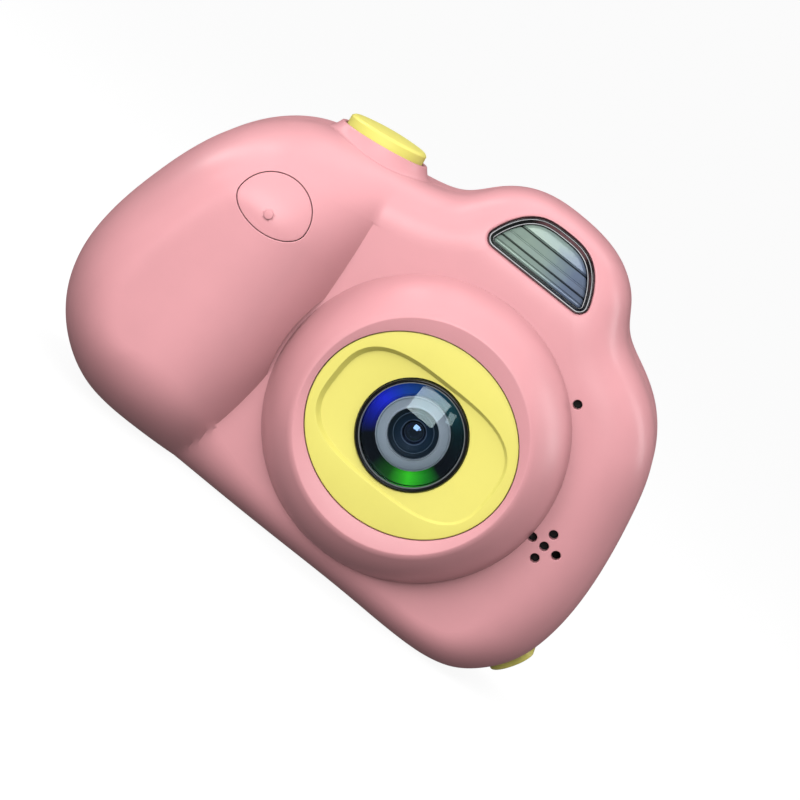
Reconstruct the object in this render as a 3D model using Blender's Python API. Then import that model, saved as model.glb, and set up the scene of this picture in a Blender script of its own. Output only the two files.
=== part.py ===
"""Kids digital camera: a moulded two-shell body with a hand grip, a lens ring, a flash hump,
a shutter button, rear controls and the electronics inside.

Frame: +Z up, the lens looks along -Y, +X is the side away from the grip, and the flat
bottom stands at z = 0. Lengths below are millimetres; make_object() turns them into metres.
"""

import math

import bmesh
import bpy
import numpy as np
from mathutils import Vector

MM = 0.001
GAP = 0.3  # clearance between pieces that touch

# Body shells
FRONT_DEPTH = 12.0  # parting plane to the flat front face
REAR_DEPTH = 15.0  # parting plane to the rear face
WALL = 1.8
PARTING_Y = 1.0
PARTING_GAP = 0.15  # from the parting plane to each rim
FRONT_SIDE = 3.0  # straight side wall before the front edge turns
REAR_SIDE = 7.0
HUMP_SIDE = 0.6  # the straight side wall over the top of the hump
REAR_ROUND = 7.0  # how far in from the outline the rear edge rounding reaches
HUMP_FOOT_Z = 47.0  # above this height the hump's front leans back, and its rear forward
HUMP_LEAN = 0.30
HUMP_SQUARENESS = 1.2
REAR_LEAN = 0.22
GRIP_BULGE = 8.5  # the grip's crest ahead of the front face
GRIP_CREST_X = -20.5
GRIP_FOOT_X = -10.3  # where the grip's flank meets the flat front, at the height below
GRIP_FOOT_Z = 19.0
GRIP_FOOT_BOW = (0.009, 0.003)  # how fast the flank's foot curves away below and above that height
GRIP_FADE_Z = (33.0, 50.0)
SHELL_CENTRE = (4.0, 27.0)
SHELL_POINTS = 64  # points round the outline
EDGE_STEPS = 4  # rings over the rounded edge
FRONT_FACE_STEPS = 8  # rings over the face
REAR_FACE_STEPS = 2

# The outline at the parting plane: x, z, and how far in the front edge rounding reaches
OUTLINE = (
    (2.0, -0.35, 5.0), (16.0, -0.35, 5.0), (26.5, -0.35, 5.0), (32.0, 0.95, 6.0),
    (35.6, 3.8, 7.0), (38.0, 7.4, 8.0), (39.2, 11.6, 8.0), (39.6, 17.2, 8.0),
    (39.1, 23.5, 8.0), (37.7, 31.0, 8.0), (35.4, 38.0, 7.5), (31.6, 43.0, 7.0),
    (27.0, 46.0, 6.5), (23.0, 48.4, 6.0), (20.2, 52.4, 5.0), (16.3, 55.4, 3.4),
    (9.0, 56.8, 2.8), (1.9, 55.9, 3.4), (-2.2, 53.2, 5.0), (-5.6, 49.6, 6.0),
    (-9.6, 48.1, 6.0), (-17.3, 46.95, 5.5), (-24.6, 45.7, 6.0), (-30.2, 42.2, 8.0),
    (-35.1, 35.5, 9.0), (-38.1, 27.1, 9.0), (-39.6, 19.5, 9.0), (-39.3, 12.6, 9.0),
    (-37.1, 7.3, 9.0), (-32.9, 2.9, 9.0), (-28.0, 0.4, 10.0), (-20.0, -0.35, 10.5),
    (-10.0, -0.35, 7.0),
)  # fmt: skip

# Lens group, on an axis along Y
LENS_X = 8.9
LENS_Z = 23.4
RING_PROFILE = (  # radius, y: foot of the ring to its front ridge
    (19.9, -12.25), (19.6, -14.0), (18.7, -16.4), (17.3, -18.7), (16.0, -19.8), (15.1, -20.1),
)  # fmt: skip
RING_SEAT_R = 20.4
RING_SPIGOT_R = 17.0
RING_SPIGOT_Y = -9.9
LENS_HOLE_R = 17.3
BEZEL_HALF_X = 14.1
BEZEL_HALF_Z = 12.65
BEZEL_FACE_Y = -18.8
BEZEL_RECESS = (12.45, 8.0, 3.1)  # half width, half height, power of its superellipse
RECESS_DEPTH = 0.7
TRIM_R = 7.2
TRIM_BORE_R = 6.75

# Flash, on a plane that leans back from its foot
FLASH_FOOT = (8.48, -11.85, 47.75)
FLASH_LEAN = math.radians(20)
FLASH_HALF_X = 7.85
FLASH_HEIGHT = 7.5
FLASH_CORNER = 1.3

# Holes in the front
MIC_XZ = (22.95, 38.8)
SPEAKER_XZ = (31.0, 21.9)
SPEAKER_PITCH = 1.92
HOLE_R = 0.62

# Shutter button, on an axis that leans towards the grip
SHUTTER_TOP = (-17.35, 0.0, 48.37)
SHUTTER_LEAN = math.radians(8.4)
SHUTTER_R = 5.55
COLLAR_HOLE_R = 7.45

# Grip flap: centre, half width, rise above and drop below the centre
FLAP_CENTRE = (-22.45, 34.7)
FLAP_HALF_X = 5.0
FLAP_RISE = 4.65
FLAP_DROP = 2.9
FLAP_THICK = 1.5
FLAP_HINGE_Z = 38.9
NUB_Z = 34.15
USB_Z = 35.6

# Card cover on the lower right corner: heights that it spans, and its depth range
COVER_Z = (3.7, 8.7)
COVER_Y = (-2.35, 9.35)
COVER_PROUD = 1.0
CARD_Z = 6.3
CARD_SIZE = (15.0, 11.0, 0.8)  # length, width, thickness
SLOT_GAP = 0.4  # from the card's edge to the slot's
SOCKET_WALL = 0.7

# Rear face
SCREEN_X = 9.0
SCREEN_Z = 23.6
SCREEN_SIZE = (41.4, 31.0)
SCREEN_OPENING = (38.4, 28.0)
BOARD_Y = (7.4, 8.6)
BUTTON_R = 2.6
BUTTON_FACE_Y = 16.0
PAD_XZ = (-22.9, 21.0)
PAD_PITCH = 6.6
REAR_BUTTONS = {
    "up_button": (PAD_XZ[0], PAD_XZ[1] + PAD_PITCH),
    "down_button": (PAD_XZ[0], PAD_XZ[1] - PAD_PITCH),
    "left_button": (PAD_XZ[0] + PAD_PITCH, PAD_XZ[1]),
    "right_button": (PAD_XZ[0] - PAD_PITCH, PAD_XZ[1]),
    "ok_button": PAD_XZ,
    "power_button": (-18.2, 37.6),
    "mode_button": (-24.8, 34.8),
}
LIGHT_XZ = (-12.8, 42.0)
BATTERY_LEAD = (
    (-25.0, -10.0, 31.4), (-25.0, -10.0, 33.0), (-26.0, -4.0, 33.0), (-27.0, 3.0, 31.0),
    (-27.0, 7.0, 31.0),
)  # fmt: skip

# Fasteners: x, z
COVER_SCREWS = ((-33.5, 10.5), (-30.5, 38.2), (26.0, 43.4), (34.5, 13.5))
BOARD_SCREWS = ((-16.0, 31.2), (-15.2, 10.8))
SCREW_SEAT_Y = 10.8
HEAD_POCKET_R = 2.1
POST_R = 1.9

COLOURS = {  # base colour, roughness, metallic
    "pink_shell": ((0.86, 0.42, 0.44), 0.45, 0.0),
    "yellow_plastic": ((0.86, 0.78, 0.25), 0.45, 0.0),
    "black_plastic": ((0.02, 0.02, 0.02), 0.4, 0.0),
    "dark_chrome": ((0.25, 0.25, 0.27), 0.25, 1.0),
    "clear_lens": ((0.3, 0.35, 0.5), 0.05, 0.0),
    "grey_ring": ((0.35, 0.36, 0.37), 0.5, 0.0),
    "silver": ((0.75, 0.76, 0.78), 0.2, 1.0),
    "board_green": ((0.03, 0.2, 0.08), 0.6, 0.0),
    "steel": ((0.6, 0.6, 0.62), 0.3, 1.0),
    "cell_wrap": ((0.55, 0.57, 0.6), 0.5, 0.0),
    "screen_glass": ((0.03, 0.03, 0.04), 0.1, 0.0),
    "ribbon_film": ((0.6, 0.35, 0.08), 0.5, 0.0),
}


# Scene and mesh helpers


def clear_scene():
    for obj in list(bpy.data.objects):
        bpy.data.objects.remove(obj, do_unlink=True)


def make_material(name):
    colour, roughness, metallic = COLOURS[name]
    material = bpy.data.materials.new(name)
    material.use_nodes = True
    shader = material.node_tree.nodes["Principled BSDF"]
    shader.inputs["Base Color"].default_value = (*colour, 1.0)
    shader.inputs["Roughness"].default_value = roughness
    shader.inputs["Metallic"].default_value = metallic
    return material


def material_named(name):
    return bpy.data.materials.get(name) or make_material(name)


def make_object(name, points, faces, material, origin=(0.0, 0.0, 0.0)):
    """A closed mesh from millimetre points, with its object placed at origin."""
    centre = Vector(origin)
    mesh = bpy.data.meshes.new(name)
    mesh.from_pydata([(Vector(p) - centre) * MM for p in points], [], faces)
    shape = bmesh.new()
    shape.from_mesh(mesh)
    bmesh.ops.recalc_face_normals(shape, faces=shape.faces)
    if shape.calc_volume(signed=True) < 0:
        bmesh.ops.reverse_faces(shape, faces=shape.faces)
    shape.to_mesh(mesh)
    shape.free()
    mesh.shade_smooth()
    mesh.set_sharp_from_angle(angle=math.radians(35))
    mesh.materials.append(material_named(material))
    obj = bpy.data.objects.new(name, mesh)
    obj.location = centre * MM
    bpy.context.collection.objects.link(obj)
    return obj


def loop_faces(rows, count, close_rows=False):
    """Quads between consecutive rows of count points each, every row a closed loop."""
    faces = []
    for row in range(rows if close_rows else rows - 1):
        low = row * count
        high = ((row + 1) % rows) * count
        for i in range(count):
            j = (i + 1) % count
            faces.append((low + i, low + j, high + j, high + i))
    return faces


def loft(name, rings, material, hollow=False, origin=(0.0, 0.0, 0.0)):
    """A solid through closed rings of equal count; hollow joins the last ring to the first."""
    count = len(rings[0])
    points = [p for ring in rings for p in ring]
    faces = loop_faces(len(rings), count, close_rows=hollow)
    if not hollow:
        faces.append(tuple(range(count)))
        faces.append(tuple(range(len(points) - count, len(points))))
    return make_object(name, points, faces, material, origin)


def plate(name, outline, y_low, y_high, material, origin=(0.0, 0.0, 0.0)):
    """A flat piece with an XZ outline, from y_low to y_high."""
    rings = [[(x, y, z) for x, z in outline] for y in (y_low, y_high)]
    return loft(name, rings, material, origin=origin)


def turned(name, profile, centre, axis, material, count=24, hollow=False):
    """A turned solid: profile holds (radius, height along axis from centre)."""
    along = Vector(axis).normalized()
    side = along.orthogonal().normalized()
    other = along.cross(side)
    rings = []
    for radius, height in profile:
        turns = (2 * math.pi * i / count for i in range(count))
        middle = Vector(centre) + along * height
        rings.append([middle + (side * math.cos(t) + other * math.sin(t)) * radius for t in turns])
    return loft(name, rings, material, hollow=hollow)


def hide_cutter(cutter):
    cutter.hide_render = True
    cutter.display_type = "WIRE"


def combine(target, other, operation):
    modifier = target.modifiers.new(operation.lower() + "_" + other.name, "BOOLEAN")
    modifier.operation = operation
    modifier.solver = "EXACT"
    modifier.object = other
    hide_cutter(other)


def cut(target, cutter):
    combine(target, cutter, "DIFFERENCE")


def join(target, other):
    combine(target, other, "UNION")


# Outlines in the XZ plane


def ellipse(centre, half_x, half_z, count=40):
    turns = [2 * math.pi * i / count for i in range(count)]
    return [(centre[0] + half_x * math.cos(t), centre[1] + half_z * math.sin(t)) for t in turns]


def signed_power(value, power):
    return math.copysign(abs(value) ** power, value)


def superellipse(centre, half_x, half_z, power, count=40):
    bend = 2 / power
    points = []
    for i in range(count):
        turn = 2 * math.pi * i / count
        x = centre[0] + half_x * signed_power(math.cos(turn), bend)
        z = centre[1] + half_z * signed_power(math.sin(turn), bend)
        points.append((x, z))
    return points


def rounded_rectangle(centre, width, height, radius, steps=4):
    points = []
    for quarter, (sx, sz) in enumerate(((1, 1), (-1, 1), (-1, -1), (1, -1))):
        cx = centre[0] + sx * (width / 2 - radius)
        cz = centre[1] + sz * (height / 2 - radius)
        for i in range(steps + 1):
            turn = math.pi / 2 * (quarter + i / steps)
            points.append((cx + radius * math.cos(turn), cz + radius * math.sin(turn)))
    return points


def inset(outline, distance):
    """The outline moved inwards, for one that runs anticlockwise in x, z."""
    moved = []
    for i, (x, z) in enumerate(outline):
        before = outline[i - 1]
        after = outline[(i + 1) % len(outline)]
        dx = after[0] - before[0]
        dz = after[1] - before[1]
        length = math.hypot(dx, dz)
        moved.append((x - dz / length * distance, z + dx / length * distance))
    return moved


# The body's surface


def smooth_step(low, high, value):
    t = min(max((value - low) / (high - low), 0.0), 1.0)
    return t * t * (3 - 2 * t)


def closed_spline(knots, count):
    """count points, evenly spaced, on the smooth closed curve through knots."""
    knots = np.array(knots)
    steps = np.hypot(*(np.roll(knots, -1, axis=0) - knots)[:, :2].T)
    size = len(knots)
    system = np.zeros((size, size))
    right = np.zeros_like(knots)
    for i in range(size):
        before = steps[i - 1]
        after = steps[i]
        system[i, i - 1] += before
        system[i, i] += 2 * (before + after)
        system[i, (i + 1) % size] += after
        rise = (knots[(i + 1) % size] - knots[i]) / after
        right[i] = 6 * (rise - (knots[i] - knots[i - 1]) / before)
    bends = np.linalg.solve(system, right)
    fine = []
    for i in range(size):
        j = (i + 1) % size
        for t in np.arange(0, 1, 1 / 64):
            a = 1 - t
            bow = (a**3 - a) * bends[i] + (t**3 - t) * bends[j]
            fine.append(a * knots[i] + t * knots[j] + bow * steps[i] ** 2 / 6)
    fine = np.array(fine + [fine[0]])
    length = np.concatenate([[0], np.cumsum(np.hypot(*np.diff(fine[:, :2], axis=0).T))])
    even = np.linspace(0, length[-1], count, endpoint=False)
    return np.stack([np.interp(even, length, fine[:, k]) for k in range(fine.shape[1])], axis=1)


def inward_normals(outline):
    along = np.roll(outline, -1, axis=0) - np.roll(outline, 1, axis=0)
    along = along[:, :2] / np.hypot(along[:, 0], along[:, 1])[:, None]
    return np.stack([-along[:, 1], along[:, 0]], axis=1)


def side_share(z):
    """1 on the body's sides, falling to 0 over the top of the hump."""
    return 1 - smooth_step(47.0, 55.0, z)


def hump_height(z):
    """The height above the hump's foot, rounded off to 0 below it."""
    return math.log1p(math.exp(min((z - HUMP_FOOT_Z) * 1.5, 30.0))) / 1.5


def grip_foot(z):
    """Where the grip's flank meets the flat front, at a height."""
    bow = GRIP_FOOT_BOW[1] if z > GRIP_FOOT_Z else GRIP_FOOT_BOW[0]
    return GRIP_FOOT_X - bow * (z - GRIP_FOOT_Z) ** 2


def grip_rise(x, z):
    """How far the grip stands ahead of the front face."""
    across = min(max((x - GRIP_CREST_X) / (grip_foot(z) - GRIP_CREST_X), 0.0), 1.0)
    return GRIP_BULGE * (1 - across**2.4) * (1 - smooth_step(*GRIP_FADE_Z, z))


def front_y(x, z, lift=1.0, side=FRONT_SIDE, wall=0.0):
    """The front surface, or the inside of its wall, with lift from 0 at the side to 1 on the face."""
    reach = side + (FRONT_DEPTH - wall - side) * lift
    reach *= 1 - HUMP_LEAN * hump_height(z) / FRONT_DEPTH
    return -(reach + grip_rise(x, z) * lift)


def rear_y(z, lift=1.0, side=REAR_SIDE, wall=0.0):
    reach = side + (REAR_DEPTH - wall - side) * lift
    return reach * (1 - REAR_LEAN * hump_height(z) / REAR_DEPTH)


def edge_power(z, rear):
    """How square an edge's rounding is: an ellipse, but squarer on the front of the hump."""
    return 2.0 if rear else 2.0 + HUMP_SQUARENESS * (1 - side_share(z))


def face_share(x, z, step, steps):
    """How far towards the middle a face ring lies, with one ring on the foot of the grip."""
    crossing = 0.0
    for _ in range(6):
        foot = grip_foot(z + (SHELL_CENTRE[1] - z) * crossing)
        crossing = max((foot - x) / (SHELL_CENTRE[0] - x), 0.0) if x < SHELL_CENTRE[0] else 0.0
    crossing *= steps
    on_foot = crossing > 0.4 and step == max(1, round(crossing))
    return (crossing if on_foot else step) / steps


def shell_rings(outline, wall, rear):
    """Rings from the rim, over the rounded edge, to near the middle of the face."""
    normals = inward_normals(outline)
    rings = []
    for step in range(-1, EDGE_STEPS + 1):
        turn = math.pi / 2 * max(step, 0) / EDGE_STEPS
        ring = []
        for (x, z, front_round), (nx, nz) in zip(outline, normals, strict=True):
            share = side_share(z)
            edge = min(REAR_ROUND, front_round + 1) if rear else front_round
            bend = 2 / edge_power(z, rear)
            shift = wall + (edge - wall) * (1 - math.cos(turn) ** bend)
            lift = math.sin(turn) ** bend
            px = x + nx * shift
            pz = z + nz * shift
            if rear:
                y = rear_y(pz, lift, HUMP_SIDE + (REAR_SIDE - HUMP_SIDE) * share, wall)
            else:
                y = front_y(px, pz, lift, HUMP_SIDE + (FRONT_SIDE - HUMP_SIDE) * share, wall)
            if step < 0:
                y = PARTING_Y + (PARTING_GAP if rear else -PARTING_GAP)
            ring.append((px, y, pz))
        rings.append(ring)
    last = rings[-1]
    steps = REAR_FACE_STEPS if rear else FRONT_FACE_STEPS
    for step in range(1, steps):
        ring = []
        for x, _, z in last:
            share = face_share(x, z, step, steps)
            px = x + (SHELL_CENTRE[0] - x) * share
            pz = z + (SHELL_CENTRE[1] - z) * share
            y = rear_y(pz, wall=wall) if rear else front_y(px, pz, wall=wall)
            ring.append((px, y, pz))
        rings.append(ring)
    return rings


def shell(name, rear):
    """An open moulded shell: outer rings, inner rings, and the rim that joins them."""
    outline = closed_spline(OUTLINE, SHELL_POINTS)
    outer = shell_rings(outline, 0.0, rear)
    inner = shell_rings(outline, WALL, rear)
    rings = outer[::-1] + inner
    obj = loft(name, rings, "pink_shell")
    floor = plate("floor_cutter_" + name, rounded_rectangle((0, -5), 90, 10, 1), -40, 40, "steel")
    cut(obj, floor)
    return obj


# Openings and bosses of the shells


def flash_point(u, v, depth):
    """A point on the flash plane: u across, v up the plane, depth into the body."""
    x, y, z = FLASH_FOOT
    lean_y = v * math.sin(FLASH_LEAN) + depth * math.cos(FLASH_LEAN)
    lean_z = v * math.cos(FLASH_LEAN) - depth * math.sin(FLASH_LEAN)
    return (x + u, y + lean_y, z + lean_z)


def flash_outline(steps=9):
    """A D on its flat side, as u, v, anticlockwise."""
    right = []
    for i in range(4):
        turn = -math.pi / 2 + math.pi / 2 * i / 3
        u = FLASH_HALF_X - FLASH_CORNER + FLASH_CORNER * math.cos(turn)
        right.append((u, FLASH_CORNER + FLASH_CORNER * math.sin(turn)))
    for i in range(1, steps):
        rise = 1 - (1 - i / steps) ** 3
        u = FLASH_HALF_X * (1 - rise**1.2) ** 0.33
        right.append((u, FLASH_CORNER + (FLASH_HEIGHT - FLASH_CORNER) * rise))
    left = [(-u, v) for u, v in reversed(right)]
    return right + [(0.0, FLASH_HEIGHT)] + left


def flash_plate(name, outline, depth_low, depth_high, material):
    rings = [[flash_point(u, v, d) for u, v in outline] for d in (depth_low, depth_high)]
    return loft(name, rings, material)


def flap_outline(shrink, count=24):
    points = []
    for i in range(count):
        turn = 2 * math.pi * i / count
        rise = FLAP_RISE if math.sin(turn) > 0 else FLAP_DROP
        x = FLAP_CENTRE[0] + (FLAP_HALF_X - shrink) * math.cos(turn)
        points.append((x, FLAP_CENTRE[1] + (rise - shrink) * math.sin(turn)))
    return points


def corner_band(low, high, inner, outer):
    """The strip along the lower right corner between two heights, as an XZ outline."""
    outline = closed_spline(OUTLINE, 720)
    normals = inward_normals(outline)
    picked = [i for i, (x, z, _) in enumerate(outline) if x > 0 and low <= z <= high]
    steps = np.linspace(picked[0], picked[-1], 7).round().astype(int)
    outside = [tuple(outline[i][:2] - normals[i] * outer) for i in steps]
    inside = [tuple(outline[i][:2] + normals[i] * inner) for i in steps]
    return outside + inside[::-1]


def shutter_axis():
    return (-math.sin(SHUTTER_LEAN), 0.0, math.cos(SHUTTER_LEAN))


def cut_top_and_corner(front, rear):
    collar_hole = turned(
        "collar_hole_cutter",
        ((COLLAR_HOLE_R, -7.0), (COLLAR_HOLE_R, 6.0)),
        SHUTTER_TOP,
        shutter_axis(),
        "steel",
    )
    margin = 0.25
    band = corner_band(COVER_Z[0] - margin, COVER_Z[1] + margin, 4.0, 4.0)
    corner = plate("corner_cutter", band, COVER_Y[0] - margin, COVER_Y[1] + margin, "steel")
    for target in (front, rear):
        cut(target, collar_hole)
        cut(target, corner)


def pin_hole(name, centre, radius, y_low, y_high, count=12):
    return plate(name, ellipse(centre, radius, radius, count), y_low, y_high, "steel")


def cut_front(front):
    centre = (LENS_X, LENS_Z)
    cut(front, pin_hole("ring_seat_cutter", centre, RING_SEAT_R, -40, -FRONT_DEPTH - 0.05, 40))
    cut(front, pin_hole("lens_cutter", centre, LENS_HOLE_R, -16, -6, 40))
    cut(front, flash_plate("flash_cutter", inset(flash_outline(), -0.15), -4, 6, "steel"))
    cut(front, plate("flap_cutter", flap_outline(-0.25), -24, -14, "steel"))
    cut(front, pin_hole("mic_cutter", MIC_XZ, HOLE_R, -14, -9))
    for across, up in ((0, 0), (1, 0), (-1, 0), (0, 1), (0, -1)):
        centre = (SPEAKER_XZ[0] + across * SPEAKER_PITCH, SPEAKER_XZ[1] + up * SPEAKER_PITCH)
        cut(front, pin_hole(f"speaker_cutter_{across}_{up}", centre, HOLE_R, -14, -7))


def core(name, rear):
    """The body's half as a solid a little under its outer surface, to trim the bosses with."""
    outline = closed_spline(OUTLINE, SHELL_POINTS)
    solid = loft(name, shell_rings(outline, WALL / 3, rear), "steel")
    hide_cutter(solid)
    return solid


def add_front_bosses(front):
    trim = core("front_core", rear=False)
    for i, (x, z) in enumerate(COVER_SCREWS, 1):
        boss = pin_hole(f"front_boss_{i}", (x, z), 2.0, -25.0, PARTING_Y - 0.5, 16)
        combine(boss, trim, "INTERSECT")
        join(front, boss)
        cut(front, pin_hole(f"front_boss_bore_{i}", (x, z), 1.05, -4.6, 3.0))
    for i, (x, z) in enumerate(BOARD_SCREWS, 1):
        foot = front_y(x + POST_R, z) + WALL / 3
        join(front, pin_hole(f"board_post_{i}", (x, z), POST_R, foot, BOARD_Y[0] - GAP, 16))
        cut(front, pin_hole(f"board_post_bore_{i}", (x, z), 1.0, 1.0, 9.0))


def add_rear_bosses(rear):
    trim = core("rear_core", rear=True)
    for i, (x, z) in enumerate(COVER_SCREWS, 1):
        boss = pin_hole(f"rear_boss_{i}", (x, z), 3.0, PARTING_Y + 0.5, 20.0, 16)
        combine(boss, trim, "INTERSECT")
        join(rear, boss)
        cut(rear, pin_hole(f"rear_boss_bore_{i}", (x, z), 1.2, -1.0, 12.0))
        cut(rear, pin_hole(f"head_pocket_{i}", (x, z), HEAD_POCKET_R, SCREW_SEAT_Y, 18.0, 16))


def cut_rear(rear):
    centre = (SCREEN_X, SCREEN_Z)
    width, height = SCREEN_SIZE
    recess = rounded_rectangle(centre, width + 0.6, height + 0.6, 3.0)
    cut(rear, plate("screen_recess_cutter", recess, 13.9, 17, "steel"))
    opening = rounded_rectangle(centre, *SCREEN_OPENING, 1.5)
    cut(rear, plate("screen_opening_cutter", opening, 12, 16, "steel"))
    for name, place in REAR_BUTTONS.items():
        cut(rear, pin_hole(name + "_cutter", place, BUTTON_R + 0.25, 12, 17, 14))
    cut(rear, pin_hole("light_cutter", LIGHT_XZ, 1.15, 8, 17))


def build_shells():
    front = shell("front_cover", rear=False)
    rear = shell("rear_cover", rear=True)
    add_front_bosses(front)
    cut_front(front)
    add_rear_bosses(rear)
    cut_rear(rear)
    cut_top_and_corner(front, rear)


# Lens group


def ring_at(radius_x, radius_z, y, count=40):
    return [(x, y, z) for x, z in ellipse((LENS_X, LENS_Z), radius_x, radius_z, count)]


def build_lens_ring():
    rings = [ring_at(radius, radius, y) for radius, y in RING_PROFILE]
    rings.append(ring_at(BEZEL_HALF_X + 0.3, BEZEL_HALF_Z + 0.3, BEZEL_FACE_Y - 0.1))
    rings.append(ring_at(BEZEL_HALF_X + 0.3, BEZEL_HALF_Z + 0.3, RING_SPIGOT_Y))
    rings.append(ring_at(RING_SPIGOT_R, RING_SPIGOT_R, RING_SPIGOT_Y))
    rings.append(ring_at(RING_SPIGOT_R, RING_SPIGOT_R, RING_PROFILE[0][1]))
    loft("lens_ring", rings, "pink_shell", hollow=True)


def build_lens_bezel():
    centre = (LENS_X, LENS_Z)
    outline = ellipse(centre, BEZEL_HALF_X, BEZEL_HALF_Z, 40)
    bezel = plate("lens_bezel", outline, BEZEL_FACE_Y, BEZEL_FACE_Y + 1.9, "yellow_plastic")
    recess = superellipse(centre, *BEZEL_RECESS, count=32)
    floor = BEZEL_FACE_Y + RECESS_DEPTH
    cut(bezel, plate("recess_cutter", recess, BEZEL_FACE_Y - 2, floor, "steel"))
    cut(bezel, pin_hole("bezel_hole_cutter", centre, TRIM_R + 0.25, -22, -14, 24))


def build_lens_stack():
    """The pieces on the lens axis; heights are measured forward from y = 0."""
    centre = (LENS_X, 0.0, LENS_Z)
    front = (0, -1, 0)

    def on_axis(name, profile, material, hollow=True):
        turned(name, profile, centre, front, material, hollow=hollow)

    trim = ((TRIM_R, 17.9), (TRIM_R, 19.0), (7.0, 19.3), (TRIM_BORE_R, 19.1), (TRIM_BORE_R, 17.9))
    on_axis("lens_trim_ring", trim, "black_plastic")
    glass = ((6.5, 17.9), (6.5, 18.8), (5.0, 19.6), (2.7, 20.1), (0.4, 20.3))
    on_axis("front_lens_element", glass, "clear_lens", hollow=False)
    barrel = ((TRIM_R, 8.4), (TRIM_R, 17.6), (6.0, 17.6), (6.0, 8.4))
    on_axis("lens_barrel", barrel, "black_plastic")
    iris = ((5.7, 15.9), (5.7, 17.2), (4.62, 16.9), (3.35, 16.3), (3.35, 15.9))
    on_axis("iris_ring", iris, "grey_ring")
    sleeve = ((5.7, 10.0), (5.7, 15.6), (3.35, 15.6), (3.35, 14.0), (2.2, 14.0), (2.2, 10.0))
    on_axis("inner_sleeve", sleeve, "black_plastic")
    inner = ((3.0, 14.3), (3.0, 15.4), (2.2, 15.9), (1.2, 16.2), (0.3, 16.3))
    on_axis("inner_lens_element", inner, "clear_lens", hollow=False)
    board = rounded_rectangle((LENS_X, LENS_Z), 18, 18, 1, 2)
    plate("sensor_board", board, -8.1, -7.1, "board_green")
    chip = rounded_rectangle((LENS_X, LENS_Z), 6.4, 6.4, 0.3, 1)
    plate("image_sensor", chip, -9.2, -8.4, "black_plastic")


# Flash


def build_flash():
    outline = flash_outline()
    inner = inset(outline, 0.6)
    rings = [
        [flash_point(u, v, depth) for u, v in edge]
        for edge, depth in ((outline, -0.05), (outline, 2.6), (inner, 2.6), (inner, -0.05))
    ]
    loft("flash_bezel", rings, "dark_chrome", hollow=True)
    pane = inset(outline, 0.9)
    flash_plate("flash_window", pane, 0.15, 1.2, "clear_lens")
    reflector = flash_plate("flash_reflector", pane, 1.5, 4.6, "silver")
    bowl = [
        [flash_point(u * share, 3.6 + (v - 3.6) * share, d) for u, v in pane]
        for share, d in ((0.94, 1.0), (0.5, 4.0))
    ]
    cut(reflector, loft("bowl_cutter", bowl, "silver"))
    lamp = [(u, v + 3.5) for u, v in rounded_rectangle((0, 0), 3.6, 1.8, 0.3, 1)]
    flash_plate("flash_lamp", lamp, 3.0, 3.7, "yellow_plastic")
    board = [(u, v + 3.4) for u, v in rounded_rectangle((0, 0), 12, 5, 0.6, 2)]
    flash_plate("flash_board", board, 4.9, 5.7, "board_green")


# Shutter button


def build_shutter():
    axis = shutter_axis()

    def on_axis(name, profile, material, hollow=False):
        turned(name, profile, SHUTTER_TOP, axis, material, hollow=hollow)

    collar = (
        (5.85, 0.0), (6.3, -0.05), (7.15, -1.5), (7.15, -5.2), (6.6, -5.2), (6.6, -3.25),
        (5.85, -3.25),
    )  # fmt: skip
    on_axis("shutter_collar", collar, "pink_shell", hollow=True)
    button = (
        (1.4, -5.6), (1.4, -4.4), (6.2, -4.4), (6.2, -3.6), (SHUTTER_R, -3.6), (SHUTTER_R, 1.0),
        (5.2, 1.35), (3.6, 1.65), (0.5, 1.8),
    )  # fmt: skip
    on_axis("shutter_button", button, "yellow_plastic")
    switch = ((3.0, -10.2), (3.0, -7.4), (1.4, -7.4), (1.4, -6.9))
    turned("shutter_switch", switch, SHUTTER_TOP, axis, "black_plastic", count=16)
    board = ((4.5, -11.5), (4.5, -10.5))
    turned("shutter_board", board, SHUTTER_TOP, axis, "board_green", count=16)


# Flap and cover


def build_grip_flap():
    """A patch of the grip's surface with an even thickness, and a nub to pull it by."""
    rings = []
    for shrink in (3.1, 1.6, 0.0):
        rings.append([(x, front_y(x, z), z) for x, z in flap_outline(shrink)])
    for shrink in (0.0, 1.6, 3.1):
        outline = flap_outline(shrink)
        rings.append([(x, front_y(x, z) + FLAP_THICK, z) for x, z in outline])
    hinge = (FLAP_CENTRE[0], front_y(FLAP_CENTRE[0], FLAP_HINGE_Z), FLAP_HINGE_Z)
    flap = loft("grip_flap", rings, "pink_shell", origin=hinge)
    nub_y = front_y(FLAP_CENTRE[0], NUB_Z)
    nub = turned(
        "nub",
        ((0.6, -0.5), (0.6, 0.15), (0.35, 0.35)),
        (FLAP_CENTRE[0], nub_y, NUB_Z),
        (0, -1, 0),
        "pink_shell",
        count=12,
    )
    join(flap, nub)


def cover_hinge():
    """The outer top corner of the card cover, as x, z."""
    band = corner_band(*COVER_Z, 0.9, COVER_PROUD)
    return max(band[: len(band) // 2], key=lambda point: point[1])


def build_card_cover():
    x, z = cover_hinge()
    band = corner_band(*COVER_Z, 0.9, COVER_PROUD)
    middle = (COVER_Y[0] + COVER_Y[1]) / 2
    plate("card_cover", band, *COVER_Y, "yellow_plastic", origin=(x, middle, z))


# Rear face


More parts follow.
